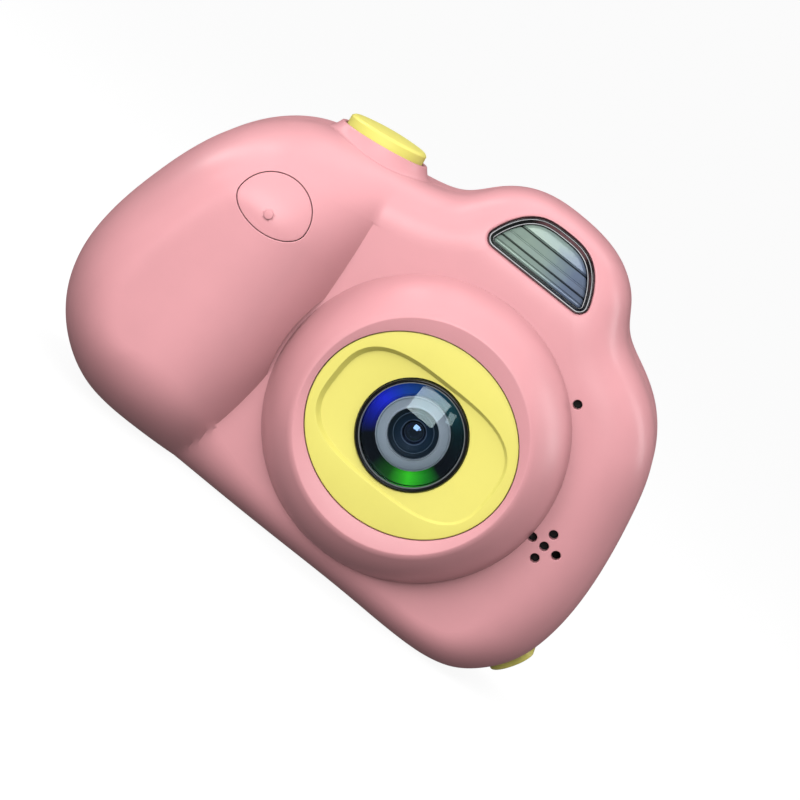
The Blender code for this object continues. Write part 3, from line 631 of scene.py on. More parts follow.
def shared_cutters():
    well = [(COLLAR_HOLE_R, -7.0), (COLLAR_HOLE_R, 6.0)]
    collar = lathe("collar_cut", well, SHUTTER_TOP, shutter_axis(), 64)
    outline, place = cover_outline(0.14)
    corner = loft("corner_cut", [place(outline, -4.0), place(outline, 4.0)])
    underside = slab("floor_cut", rounded_rectangle((0, -5), 90, 10, 1), -40, 40)
    return [collar, corner, underside]


def build_front_shell():
    body = shell("front_shell", rear=False)
    find = surface_finder(body)
    boolean(body, bosses("front_posts", COVER_SCREWS, 2.0, 0.4, False), "UNION")
    boolean(body, bosses("board_posts", BOARD_SCREWS, 1.9, 7.1, False), "UNION")
    boolean(body, merge(front_cutters(find), "front_cuts"))
    boolean(body, slab("ring_seat", circle((LENS_X, LENS_Z), RING_SEAT_R, 192), -40.0, -12.02))
    for cutter in shared_cutters():
        boolean(body, cutter)
    for centre in COVER_SCREWS:
        boolean(body, slab("front_bore", circle(centre, 1.0, 24), -4.6, 3.0))
    return body, find


def build_rear_shell():
    body = shell("rear_shell", rear=True)
    find = surface_finder(body)
    boolean(body, bosses("rear_posts", COVER_SCREWS, 3.0, 1.6, True), "UNION")
    width, height = SCREEN_SIZE
    recess = rounded_rectangle(SCREEN_XZ, width + 0.3, height + 0.3, 2.85)
    cutters = [opening("screen_recess", recess, find, True, 0.45, 13.9)]
    holes = [(centre, BUTTON_R + BUTTON_GAP, 64, 0.35, 11.9) for centre in REAR_BUTTONS.values()]
    holes.append((LIGHT_XZ, LIGHT_HOLE_R, 40, 0.2, 8.0))
    holes += [(centre, HEAD_POCKET_R, 48, 0.25, SCREW_SEAT_Y) for centre in COVER_SCREWS]
    for centre, radius, count, rim, depth in holes:
        cutters.append(opening("hole", circle(centre, radius, count), find, True, rim, depth))
    boolean(body, merge(cutters, "rear_cuts"))
    boolean(body, slab("screen_opening", rounded_rectangle(SCREEN_XZ, 38.4, 28.0, 1.5), 12.0, 16.0))
    for centre in COVER_SCREWS:
        boolean(body, slab("rear_bore", circle(centre, 1.1, 24), -1.0, 12.0))
    for cutter in shared_cutters():
        boolean(body, cutter)
    return body


# Lens group


def polar_loft(name, profile_at, count=192, sharp=30):
    """A ring whose closed radius, y section may change with the angle."""
    angles = np.array(turns(count))
    sections = np.array([profile_at(angle) for angle in angles])
    rings = []
    for radius, y in sections.transpose(1, 2, 0):
        rings.append(np.column_stack([LENS_X + radius * np.cos(angles), y, LENS_Z + radius * np.sin(angles)]))
    return loft(name, rings, hollow=True, sharp=sharp)


def oval_radius(angle, half_x, half_z, power=2.0):
    across = abs(math.cos(angle) / half_x) ** power
    up = abs(math.sin(angle) / half_z) ** power
    return (across + up) ** (-1 / power)


def bowed(start, control, end, steps):
    """Points on the curve from start to end that is pulled towards control."""
    ends = [np.array(point) for point in (start, control, end)]
    shares = [k / steps for k in range(steps + 1)]
    return [(*((1 - t) ** 2 * ends[0] + 2 * t * (1 - t) * ends[1] + t**2 * ends[2]), 0.0) for t in shares]


def build_ring():
    """The raised ring: a bowed outer slope, a narrow crest, and an inner slope down to the bezel."""
    foot = -FRONT_DEPTH - 0.03
    slope = bowed((19.9, foot), (18.75, -16.6), (15.45, -19.85), 16)

    def section(angle):
        edge = oval_radius(angle, BEZEL_HALF[0] - 0.03, BEZEL_HALF[1] - 0.03)
        corners = [(17.0, foot, 0.0), *slope, (15.05, -20.02, 0.3), (edge + 0.12, -19.55, 0.12)]
        corners += [(edge, -9.9, 0.0), (17.0, -9.9, 0.0)]
        return rounded(corners, closed=True)

    return polar_loft("lens_ring_moulding", section, sharp=40)


def build_bezel():
    """The oval plate with its recess round the lens."""

    def section(angle):
        outer = oval_radius(angle, *BEZEL_HALF)
        recess = oval_radius(angle, 12.6, 8.1, 3.0)
        tilt = 0.4 * math.cos(angle - math.radians(150)) / 12.6
        wall = 0.65 + tilt * recess
        edge = BEZEL_FACE_Y + 0.65 + tilt * (recess - wall)
        hole = BEZEL_FACE_Y + 0.65 + tilt * 7.32
        corners = [
            (outer, -16.9, 0.0), (outer, BEZEL_FACE_Y, 0.15), (recess, BEZEL_FACE_Y, 0.12),
            (recess - 0.2 - 0.45 * wall, edge, 0.12), (7.32, hole, 0.04), (7.32, -16.9, 0.0),
        ]
        return rounded(corners, closed=True)

    return polar_loft("lens_bezel_moulding", section, count=256)


def dome(radius, height, apex, steps=18):
    """Profile points of a round cap from its rim to its apex."""
    curve = (radius**2 + height**2) / (2 * height)
    points = []
    for i in range(steps):
        r = radius * (1 - (i / steps) ** 1.3)
        points.append((r, apex - curve + math.sqrt(curve**2 - r**2)))
    points.append((0.02, apex))
    return points


def build_lens():
    """The turned pieces by name, from the front trim to the small lens inside the stepped core."""
    profiles = {
        "trim_ring_turned": rounded([
            (7.2, 17.9, 0.0), (7.2, 19.15, 0.18), (6.95, 19.25, 0.08), (6.84, 18.98, 0.05),
            (6.78, 18.98, 0.0), (6.78, 17.9, 0.0),
        ], closed=True),
        "glass_edge_ring": rounded([
            (6.8, 18.5, 0.0), (6.8, 18.95, 0.04), (6.66, 19.0, 0.03), (6.62, 18.5, 0.0),
        ], closed=True, steps=3),
        "front_glass": [(6.56, 18.3), *dome(6.56, 1.5, 20.3), *dome(6.4, 1.45, 19.9)[::-1]],
        "black_seat_painted_reflection": rounded([
            (6.7, 17.0, 0.0), (6.7, 18.2, 0.06), (6.4, 18.15, 0.05), (6.15, 17.75, 0.1),
            (5.2, 17.3, 0.3), (4.85, 16.6, 0.1), (4.85, 14.0, 0.0), (6.7, 14.0, 0.0),
        ], closed=True),
        "iris_ring_turned": rounded([
            (4.8, 15.9, 0.0), (4.8, 17.15, 0.06), (4.66, 17.2, 0.05), (4.55, 17.0, 0.05),
            (3.52, 16.72, 0.05), (3.4, 16.86, 0.05), (3.3, 16.8, 0.03), (3.3, 15.9, 0.0),
        ], closed=True, steps=4),
        "stepped_core": rounded([
            (3.28, 15.0, 0.0), (3.28, 16.35, 0.05), (3.14, 16.35, 0.03), (3.1, 16.15, 0.02),
            (2.66, 15.95, 0.02), (2.62, 16.02, 0.02), (2.52, 15.98, 0.02), (2.46, 15.8, 0.02),
            (1.72, 15.5, 0.02), (1.68, 15.56, 0.02), (1.58, 15.52, 0.02), (1.5, 15.3, 0.02),
            (1.5, 14.2, 0.0), (3.28, 14.2, 0.0),
        ], closed=True, steps=3),
        "small_lens": [(1.48, 14.6), *dome(1.48, 0.5, 15.75, 12), (0.02, 14.6)],
    }
    pieces = {}
    for name, profile in profiles.items():
        count = 64 if name == "small_lens" else 160
        pieces[name] = lathe(name, profile, (LENS_X, 0.0, LENS_Z), (0, -1, 0), count, hollow=True)
    return pieces


# Flash


def build_flash_frame():
    """The plated frame: a rounded outer lip and a chamfer down to the window."""
    outline = flash_outline()
    normals = outward(outline)
    corners = [
        (0.0, 2.6, 0.0), (0.0, -0.08, 0.16), (0.3, -0.08, 0.1), (0.62, 0.3, 0.1),
        (0.78, 0.3, 0.05), (0.78, 2.6, 0.0),
    ]
    rings = []
    for inset, depth in rounded(corners, closed=True):
        edge = outline - normals * inset
        rings.append([flash_point(u, v, depth) for u, v in edge])
    return loft("flash_frame", rings, hollow=True)


def edge_distance(points, outline):
    """How far each u, v point lies from the outline."""
    starts = outline
    runs = np.roll(outline, -1, axis=0) - starts
    nearest = np.full(len(points), 1e9)
    for start, run in zip(starts, runs, strict=True):
        share = np.clip((points - start) @ run / (run @ run), 0, 1)
        gap = np.hypot(*(points - start - share[:, None] * run).T)
        nearest = np.minimum(nearest, gap)
    return nearest


def build_flash_window():
    """The ribbed window: prism strips across it, and a bevel all round its edge."""
    outline = flash_outline(240)
    outline = outline - outward(outline) * FLASH_WINDOW_INSET
    low = outline[:, 1].min() + 0.01
    high = outline[:, 1].max() - 0.01
    ribs = ((low, 0.1), (1.4, 0.16), (2.32, 0.34), (3.34, 0.14), (4.88, 0.42), (high, 0.0))
    stations = []
    nudges = (0.02, *[0.0] * 7, -0.02)
    for (start, _), (end, step) in zip(ribs, ribs[1:]):
        for k, nudge in enumerate(nudges):
            stations.append((start + (end - start) * k / 8 + nudge, step * k / 8))
    right = outline[outline[:, 0] >= 0]
    order = np.argsort(right[:, 1])
    rings = []
    across = np.linspace(-1, 1, 61)
    across = np.sign(across) * (1 - (1 - np.abs(across)) ** 1.6)
    for v, depth in stations:
        half = np.interp(v, right[order, 1], right[order, 0])
        flat = np.column_stack([across * half, np.full(len(across), v)])
        border = 1 - np.clip(edge_distance(flat, outline) / 0.4, 0, 1)
        depths = 0.22 + depth * 0.8 + 0.3 * border**2
        front = [flash_point(u, v, d) for (u, _), d in zip(flat, depths, strict=True)]
        back = [flash_point(u, v, 1.2) for u, _ in flat[::-1]]
        rings.append(front + back)
    return loft("flash_window_ribbed", rings, sharp=25)


# Shutter button


def build_shutter_button():
    profile = [
        (1.4, -5.6, 0.0), (1.4, -4.4, 0.1), (6.15, -4.4, 0.1), (6.15, -3.6, 0.1),
        (SHUTTER_R, -3.6, 0.1), (SHUTTER_R, 1.08, 0.16), (SHUTTER_R - 0.3, 1.36, 0.2),
    ]
    crown = dome(SHUTTER_R - 0.55, 0.36, 1.8)
    sections = rounded([*profile, (*crown[0], 0.0)]) + crown[1:]
    return lathe("shutter_button_moulding", sections, SHUTTER_TOP, shutter_axis(), 128)


def build_collar(shells):
    """The flared collar, whose foot follows the body's surface."""
    tree = ray_tree(shells)
    axis = shutter_axis()
    side = axis.orthogonal().normalized()
    other = axis.cross(side)
    top = Vector(SHUTTER_TOP)
    spokes = [side * math.cos(t) + other * math.sin(t) for t in turns(128)]

    def surface_height(spoke, radius):
        start = top + spoke * radius + axis * 6
        hit = tree.ray_cast(start * MM, -axis)[0]
        return (hit / MM - top).dot(axis) if hit else -1.4

    foot = np.array([surface_height(spoke, 7.5) for spoke in spokes])
    rows = [(5.72, -3.25), (5.72, -0.25), (5.76, -0.1), (5.86, -0.02), (6.0, 0.0), (6.2, 0.0), (6.3, -0.04)]
    rings = [[top + s * r + axis * h for s in spokes] for r, h in rows]
    for k in range(1, 13):
        share = k / 12
        radius = 6.3 + 1.25 * share
        heights = foot + 0.03 + (-0.07 - foot) * (1 - share) ** 1.7
        rings.append([top + s * radius + axis * h for s, h in zip(spokes, heights, strict=True)])
    for radius, drop in ((7.55, 0.15), (6.8, 0.4)):
        rings.append([top + s * radius + axis * (h - drop) for s, h in zip(spokes, foot, strict=True)])
    for radius, height in ((6.75, -5.2), (6.3, -5.2), (6.3, -3.25)):
        rings.append([top + s * radius + axis * height for s in spokes])
    rings = [[tuple(p) for p in ring] for ring in rings]
    return loft("shutter_collar_moulding", rings, hollow=True, sharp=40)


# Flap and card cover


def build_flap(find):
    """A patch of the grip's surface with an even thickness, and a nub to lift it by."""
    outline = flap_outline(0.0)
    middle = np.array(FLAP_CENTRE)

    def patch(share, drop):
        flat = middle + (outline - middle) * share
        return [(x, find(x, z, False) + drop, z) for x, z in flat]

    under = [patch(share, FLAP_THICK) for share in (0.07, 0.4, 0.75, 1.0)]
    edge = [patch(1.0, 0.12), patch(0.996, 0.05), patch(0.985, 0.01)]
    face = [patch(share, 0.0) for share in (0.96, 0.9, 0.8, 0.65, 0.5, 0.35, 0.2, 0.07)]
    flap = loft("grip_flap_moulding", [*under, *edge, *face])
    y = find(FLAP_CENTRE[0], NUB_Z, False)
    profile = rounded([(0.62, -0.4, 0.0), (0.6, 0.34, 0.14), (0.02, 0.38, 0.0)])
    nub = lathe("nub", profile, (FLAP_CENTRE[0], y, NUB_Z), (0, -1, 0), 48)
    boolean(flap, nub, "UNION")
    return flap


def build_card_cover():
    """A soft plug wrapped round the corner, with its ends and edges rounded."""
    outline, place = cover_outline(-0.01)
    normals = outward(outline)
    rings = [place(outline, -COVER_REACH)]
    radius = 0.42
    for shrink, drop in rounded_edge(radius, 6)[::-1]:
        rings.append(place(outline - normals * shrink, COVER_STAND - drop))
    centre = (outline.min(axis=0) + outline.max(axis=0)) / 2
    inner = outline - normals * radius
    for share in (0.85, 0.65, 0.45, 0.25, 0.08):
        rings.append(place(centre + (inner - centre) * share, COVER_STAND))
    under = [place(centre + (outline - centre) * share, -COVER_REACH) for share in (0.08, 0.4, 0.7)]
    return loft("card_cover_moulding", under + rings)


# Rear pieces


def build_screen_pane():
    window = rounded_rectangle(SCREEN_XZ, *SCREEN_SIZE, 2.7)
    return slab("screen_pane", window, 14.2, 14.95, 0.1, 0.3)


def arrow(centre, direction, y_low, y_high):
    """A small raised triangle with rounded corners that points away from the middle of the pad."""
    tips = [complex(*centre) + complex(*direction) * tip for tip in (0.75, -0.45 + 0.7j, -0.45 - 0.7j)]
    outline = rounded([(tip.real, tip.imag, 0.18) for tip in tips], closed=True, steps=4)
    return slab("arrow", outline, y_low, y_high, 0.0, 0.08, 3)


def build_rear_button(name, x, z):
    """A round key with a shallow dish in its face."""
    face = BUTTON_FACE_Y
    profile = rounded([
        (1.1, 11.4, 0.0), (1.1, 12.0, 0.05), (3.1, 12.0, 0.1), (3.1, 12.8, 0.1), (BUTTON_R, 12.8, 0.1),
        (BUTTON_R, face, 0.5), (1.9, face, 0.4), (1.5, face - 0.12, 0.3), (0.02, face - 0.2, 0.0),
    ])
    key = lathe(name + "_moulding", profile, (x, 0.0, z), (0, 1, 0), 80)
    ways = {"up_button": (0, 1), "down_button": (0, -1), "left_button": (1, 0), "right_button": (-1, 0)}
    if name in ways:
        boolean(key, arrow((x, z), ways[name], face - 0.6, face - 0.02), "UNION")
    return key


def build_status_light():
    profile = rounded([(1.0, 9.2, 0.0), (1.0, 14.5, 0.2), (0.9, 14.75, 0.3), (0.02, 14.95, 0.0)])
    centre = (LIGHT_XZ[0], 0.0, LIGHT_XZ[1])
    return lathe("status_light_pipe", profile, centre, (0, 1, 0), 48)


def build_cover_screw(index, x, z):
    """A pan head screw with a cross recess and a threaded shank."""
    shank = [(0.5, -3.8)]
    for turn in range(22):
        low = -3.4 + turn * 0.62
        shank += [(0.78, low), (0.95, low + 0.2), (0.95, low + 0.3), (0.78, low + 0.5)]
    head = rounded([(0.85, 10.4, 0.0), (0.85, 11.1, 0.05), (1.8, 11.1, 0.1), (1.8, 11.6, 0.25),
                    (1.1, 12.15, 0.5), (0.02, 12.2, 0.0)])
    screw = lathe(f"cover_screw_turned_{index}", shank + head, (x, 0.0, z), (0, 1, 0), 48)
    for half_x, half_z in ((1.0, 0.2), (0.2, 1.0)):
        blade = rounded_rectangle((x, z), half_x * 2, half_z * 2, 0.12, 4, 3)
        boolean(screw, slab("recess", blade, 11.55, 13.0))
    return screw


# Studio and camera

AIM = Vector((4.95, 0.0, 23.36)) * MM
ELEVATION = math.radians(8.0)
ROLL = math.radians(38.7)
DISTANCE = 0.579
KEY_OFFSET = Vector((-0.08, -0.887, 0.452)) * 0.27  # metres from the lens to the window light


def aim_at(obj, target, up=Vector((0, 0, 1))):
    away = (obj.location - target).normalized()
    right = up.cross(away).normalized()
    upward = away.cross(right)
    obj.rotation_mode = "QUATERNION"
    obj.rotation_quaternion = Matrix([[right[k], upward[k], away[k]] for k in range(3)]).to_quaternion()


def make_camera():
    data = bpy.data.cameras.new("camera")
    data.lens = 200
    data.sensor_width = 36
    data.clip_start = 0.01
    data.clip_end = 100
    camera = add_object("camera", data)
    camera.location = AIM + Vector((0, -math.cos(ELEVATION), math.sin(ELEVATION))) * DISTANCE
    upright = Vector((0, math.sin(ELEVATION), math.cos(ELEVATION)))
    aim_at(camera, AIM, upright * math.cos(ROLL) - Vector((1, 0, 0)) * math.sin(ROLL))
    bpy.context.scene.camera = camera


def area_light(name, place, target, width, height, power, mirrored):
    data = bpy.data.lights.new(name, "AREA")
    data.shape = "RECTANGLE"
    data.size = width
    data.size_y = height
    data.energy = power
    light = add_object(name, data)
    light.visible_glossy = mirrored
    light.location = place
    aim_at(light, Vector(target))


def make_lights():
    """A window light high in front, weaker ones round it, and rim lights behind."""
    lens = Vector((LENS_X, -19.0, LENS_Z)) * MM
    middle = (0.0, 0.0, 0.03)
    key = lens + KEY_OFFSET
    lights = (
        ("key_window", key, lens, 0.16, 0.15, 0.31, True),
        ("overhead_front", (0.0, -0.10, 0.17), middle, 0.2, 0.12, 0.1, False),
        ("left_front", (-0.17, -0.24, 0.1), middle, 0.1, 0.2, 0.31, False),
        ("left_strip", (-0.24, -0.06, 0.15), middle, 0.03, 0.2, 0.045, True),
        ("right_rim", (0.24, 0.08, 0.2), (0.03, 0.0, 0.04), 0.06, 0.2, 0.16, True),
        ("left_rim", (-0.2, 0.1, 0.16), (-0.01, 0.0, 0.045), 0.04, 0.2, 0.12, True),
        ("key_slot", key + Vector((0.125, 0.0, 0.025)), lens, 0.04, 0.06, 0.02, True),
        ("overhead_rear", (0.0, 0.12, 0.28), middle, 0.25, 0.12, 0.12, True),
    )
    for light in lights:
        area_light(*light)


def make_surroundings():
    """White where seen directly, dark in reflections, and paler upwards for the light they give."""
    world = bpy.data.worlds.new("studio")
    bpy.context.scene.world = world
    n = Nodes(world, "World")
    height = n.add("ShaderNodeSeparateXYZ", {0: n.coordinates["Generated"]}).outputs["Z"]
    ambient = n.add("ShaderNodeBackground", {"Color": n.spread(height, -0.6, 0.6, 0.16, 0.32)})
    mirrored = n.add("ShaderNodeBackground", {"Color": (0.06, 0.06, 0.06, 1)})
    shown = n.add("ShaderNodeBackground", {"Color": (1, 1, 1, 1)})
    path = n.add("ShaderNodeLightPath").outputs
    unseen = n.mix_shaders(path["Is Glossy Ray"], ambient.outputs[0], mirrored.outputs[0])
    n.surface(n.mix_shaders(path["Is Camera Ray"], unseen, shown.outputs[0]))
    bpy.context.scene.view_settings.view_transform = "Standard"


def make_floor():
    mesh = bpy.data.meshes.new("studio_floor")
    shape = bmesh.new()
    bmesh.ops.create_circle(shape, cap_ends=True, radius=30.0, segments=96)
    shape.to_mesh(mesh)
    shape.free()
    floor = add_object("studio_floor", mesh)
    floor.location.z = -0.00002
    n = Nodes("pale_floor")
    paint = n.add("ShaderNodeBsdfDiffuse", {"Color": (0.14, 0.14, 0.14, 1)})
    glow = n.add("ShaderNodeEmission", {"Strength": 0.92})
    both = n.add("ShaderNodeAddShader", {0: paint.outputs[0], 1: glow.outputs[0]})
    mesh.materials.append(n.surface(both.outputs[0]))
    floor.visible_diffuse = False
    floor.visible_glossy = False
    floor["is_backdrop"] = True


# Materials


class Nodes:
    """Short names for building the nodes of one material or world."""

    def __init__(self, owner, kind="Material"):
        self.owner = bpy.data.materials.new(owner) if isinstance(owner, str) else owner
        self.owner.use_nodes = True
        self.owner.node_tree.nodes.clear()
        self.output = self.add("ShaderNodeOutput" + kind)
        self.coordinates = self.add("ShaderNodeTexCoord").outputs
        self.where = self.coordinates["Object"]

    def add(self, kind, sockets=None, **settings):
        """A new node, whose sockets get a value or a link."""
        node = self.owner.node_tree.nodes.new(kind)
        for key, value in settings.items():
            setattr(node, key, value)
        for key, value in (sockets or {}).items():
            if hasattr(value, "is_output"):
                self.owner.node_tree.links.new(value, node.inputs[key])
            else:
                node.inputs[key].default_value = value
        return node

    def noise(self, scale, detail=3.0, roughness=0.5, where=None):
        sockets = {"Scale": scale, "Detail": detail, "Roughness": roughness, "Vector": where or self.where}
        return self.add("ShaderNodeTexNoise", sockets).outputs["Fac"]

    def cells(self, scale):
        return self.add("ShaderNodeTexVoronoi", {"Scale": scale, "Vector": self.where}).outputs["Distance"]

    def ramp(self, factor, *stops):
        """Colours along a factor; each stop is its place and a colour or one grey value."""
        node = self.add("ShaderNodeValToRGB", {"Fac": factor})
        elements = node.color_ramp.elements
        while len(elements) < len(stops):
            elements.new(0.5)
        for element, (place, colour) in zip(elements, stops, strict=True):
            element.position = place
            element.color = (*colour, 1) if isinstance(colour, tuple) else (colour, colour, colour, 1)
        return node.outputs["Color"]

    def spread(self, factor, low, high, to_low, to_high):
        sockets = {"Value": factor, "From Min": low, "From Max": high, "To Min": to_low, "To Max": to_high}
        return self.add("ShaderNodeMapRange", sockets).outputs["Result"]

    def uneven(self, scale, low, high):
        """A value that wanders between low and high."""
        return self.spread(self.noise(scale), 0.3, 0.7, low, high)

    def math(self, operation, *values):
        return self.add("ShaderNodeMath", dict(enumerate(values)), operation=operation).outputs[0]

    def mix_colours(self, factor, first, second, way="MIX"):
        sockets = {"Factor": factor, 6: first, 7: second}
        return self.add("ShaderNodeMix", sockets, data_type="RGBA", blend_type=way).outputs[2]

    def mix_shaders(self, factor, first, second):
        return self.add("ShaderNodeMixShader", {"Fac": factor, 1: first, 2: second}).outputs[0]

    def less_bounce(self, colour):
        """The colour, darker for light on its way from one surface to the next, so hollows stay dark."""
        path = self.add("ShaderNodeLightPath").outputs
        return self.mix_colours(path["Is Diffuse Ray"], colour, (0.2, 0.2, 0.2, 1), "MULTIPLY")

    def axes(self):
        return self.add("ShaderNodeSeparateXYZ", {0: self.where}).outputs

    def bump(self, height, strength, distance=0.00002):
        sockets = {"Strength": strength, "Distance": distance, "Height": height}
        return self.add("ShaderNodeBump", sockets).outputs["Normal"]

    def surface(self, shader):
        self.owner.node_tree.links.new(shader, self.output.inputs["Surface"])
        return self.owner

    def principled(self, base, gloss, **sockets):
        named = {key.replace("_", " "): value for key, value in sockets.items()}
        named |= {"Base Color": base, "Roughness": gloss}
        return self.surface(self.add("ShaderNodeBsdfPrincipled", named).outputs[0])


def tint(colour, factor):
    return tuple(min(c * factor, 1.0) for c in colour)


def moulded_plastic(name, colour, roughness, grain=0.35):
    """Satin moulded plastic: a fine spark-eroded grain, faint flow mottling, and uneven gloss."""
    n = Nodes(name)
    base = n.ramp(n.noise(90.0, 4.0, 0.6), (0.3, tint(colour, 0.965)), (0.7, tint(colour, 1.02)))
    gloss = n.uneven(260.0, roughness - 0.03, roughness + 0.04)
    return n.principled(n.less_bounce(base), gloss, Normal=n.bump(n.noise(5200.0, 2.0, 0.6), grain))


def polished(name, colour, roughness=0.12, metallic=0.0):
    """Polished black or plated surfaces with hairline unevenness."""
    n = Nodes(name)
    base = n.ramp(n.noise(300.0, 4.0), (0.35, tint(colour, 0.85)), (0.65, tint(colour, 1.12)))
    gloss = n.uneven(900.0, max(roughness - 0.03, 0.02), roughness + 0.04)
    return n.principled(base, gloss, Metallic=metallic, Normal=n.bump(n.noise(2500.0, 2.0), 0.06))


def brushed(name, colour, roughness=0.3):
    """Turned or brushed metal with fine lines across it."""
    n = Nodes(name)
    stretch = n.add("ShaderNodeMapping", {"Scale": (1.0, 14.0, 1.0), "Vector": n.where})
    lines = n.noise(1800.0, 4.0, 0.6, stretch.outputs[0])
    base = n.ramp(lines, (0.3, tint(colour, 0.85)), (0.7, tint(colour, 1.1)))
    gloss = n.spread(lines, 0.3, 0.7, roughness - 0.06, roughness + 0.08)
    return n.principled(base, gloss, Metallic=1.0, Normal=n.bump(lines, 0.15))


def clear_glass(name):
    """Thin coated glass: clear, with mirror reflections that rise towards its edge."""
    n = Nodes(name)
    through = n.add("ShaderNodeBsdfTransparent", {"Color": (0.9, 0.95, 1.0, 1)})
    sheen = n.ramp(n.noise(400.0), (0.3, (0.75, 1.0, 0.96)), (0.7, (0.9, 1.0, 1.0)))
    shine = n.add("ShaderNodeBsdfGlossy", {"Color": sheen, "Roughness": 0.03})
    bend = n.add("ShaderNodeFresnel", {"IOR": 1.5})
    return n.surface(n.mix_shaders(bend.outputs[0], through.outputs[0], shine.outputs[0]))


def lens_polar(n):
    """The turn round the lens axis, 0 to 1 from +X towards +Z, and the radius in millimetres."""
    axes = n.axes()
    x = n.math("SUBTRACT", axes[0], LENS_X * MM)
    z = n.math("SUBTRACT", axes[2], LENS_Z * MM)
    turn = n.math("DIVIDE", n.math("ARCTAN2", z, x), TAU)
    turn = n.math("FRACT", n.math("ADD", turn, 1.0))
    radius = n.math("SQRT", n.math("ADD", n.math("POWER", x, 2.0), n.math("POWER", z, 2.0)))
    return turn, n.math("MULTIPLY", radius, 1 / MM)


def seat_painted_reflection_material():
    """The black seat under the front glass, painted with the blue and green reflections of the lens coating,
    and given a faint painted glow.
    """
    n = Nodes("coated_seat_black")
    turn, radius = lens_polar(n)
    black = (0.003, 0.004, 0.008)
    # Painted reflection: dark teal upper right, blue upper left and left, green lower right, set by the turn
    # round the lens.
    base = n.ramp(
        turn, (0.0, black), (0.1, (0.003, 0.014, 0.016)), (0.21, (0.01, 0.06, 0.07)),
        (0.3, (0.01, 0.06, 0.16)), (0.38, (0.012, 0.06, 0.35)), (0.46, (0.02, 0.03, 0.7)),
        (0.53, (0.01, 0.015, 0.3)), (0.6, black), (0.7, black), (0.77, (0.012, 0.12, 0.01)),
        (0.84, (0.07, 0.9, 0.03)), (0.9, (0.02, 0.35, 0.02)), (0.95, black),
    )
    rings = n.math("SINE", n.math("MULTIPLY", radius, 40.0))
    # Painted glow: emission in the painted reflection colours, though the seat is no lamp.
    return n.principled(base, n.uneven(700.0, 0.4, 0.5), Specular_IOR_Level=0.12,
                        Emission_Color=base, Emission_Strength=0.45, Normal=n.bump(rings, 0.08))


def lens_core_material():
    """Black turned steps with painted highlights: thin bright rings painted at the step edges."""
    n = Nodes("lens_core_black")
    radius = lens_polar(n)[1]
    # Painted highlights: thin bright rings at the radii of the step edges, on dark blue black.
    painted_edge_highlights = n.ramp(
        n.math("DIVIDE", radius, 4.0), (0.0, (0.004, 0.012, 0.03)), (0.385, (0.006, 0.02, 0.05)),
        (0.4, (0.16, 0.2, 0.26)), (0.42, (0.006, 0.02, 0.04)), (0.635, (0.006, 0.02, 0.035)),
        (0.65, (0.14, 0.18, 0.22)), (0.67, (0.005, 0.015, 0.025)), (0.8, (0.01, 0.02, 0.03)),
        (0.815, (0.2, 0.22, 0.25)), (0.86, (0.2, 0.22, 0.25)),
    )
    return n.principled(painted_edge_highlights, n.uneven(900.0, 0.4, 0.5), Specular_IOR_Level=0.15,
                        Normal=n.bump(n.noise(3000.0), 0.1))


def flash_window_material():
    """Ribbed window over a bright reflector, its colour painted with the reflector's reflection: lighter
    silver green on the left, darker blue grey on the right, with painted shade along the rib steps.
    """
    n = Nodes("flash_window_silver")
    axes = n.axes()
    across = n.spread(axes[0], 0.5 * MM, 16.6 * MM, 0.0, 1.0)
    # Painted reflection: lighter silver green on the left fading to darker blue grey on the right.
    base = n.ramp(
        n.math("ADD", across, n.uneven(350.0, -0.08, 0.08)), (0.0, (0.20, 0.27, 0.24)),
        (0.25, (0.30, 0.40, 0.34)), (0.5, (0.27, 0.36, 0.34)), (0.75, (0.16, 0.21, 0.31)),
        (1.0, (0.12, 0.15, 0.22)),
    )
    back = n.math("SUBTRACT", axes[1], FLASH_FOOT[1] * MM)
    rise = n.math("SUBTRACT", axes[2], FLASH_FOOT[2] * MM)
    height = n.math("ADD", n.math("MULTIPLY", back, math.sin(FLASH_LEAN) / MM),
                    n.math("MULTIPLY", rise, math.cos(FLASH_LEAN) / MM))
    # Painted shade: thin dark lines where the rib steps face away from the light.
    painted_rib_shade = n.ramp(
        n.math("DIVIDE", height, 10.0), (0.0, 1), (0.128, 1), (0.132, 0.45), (0.142, 1), (0.208, 1),
        (0.213, 0.06), (0.226, 0.1), (0.232, 1), (0.308, 1), (0.313, 0.3), (0.32, 1), (0.452, 1),
        (0.458, 0.05), (0.474, 0.1), (0.48, 1),
    )
    ribs_with_painted_shade = n.mix_colours(1.0, base, painted_rib_shade, "MULTIPLY")
    return n.principled(ribs_with_painted_shade, 0.3, Metallic=0.25, Coat_Weight=0.35,
                        Coat_Roughness=0.05, Normal=n.bump(n.noise(1500.0, 2.0), 0.1))


def board_material():
    """Green solder mask with paler tracks and tinned pads."""
    n = Nodes("circuit_board_green")
    axes = n.axes()
    flat = n.add("ShaderNodeCombineXYZ", {0: axes[0], 1: axes[2]})
    tracks = n.add("ShaderNodeTexBrick", {
        "Vector": flat.outputs[0], "Scale": 420.0, "Mortar Size": 0.03, "Color1": (0.012, 0.11, 0.04, 1),
        "Color2": (0.015, 0.14, 0.05, 1), "Mortar": (0.03, 0.24, 0.09, 1),
    }).outputs
    dots = n.ramp(n.cells(500.0), (0.1, 1), (0.16, 0))
    return n.principled(n.mix_colours(dots, tracks["Color"], (0.6, 0.58, 0.5, 1)),
                        n.uneven(500.0, 0.3, 0.45), Normal=n.bump(tracks["Fac"], 0.3, 0.00004))


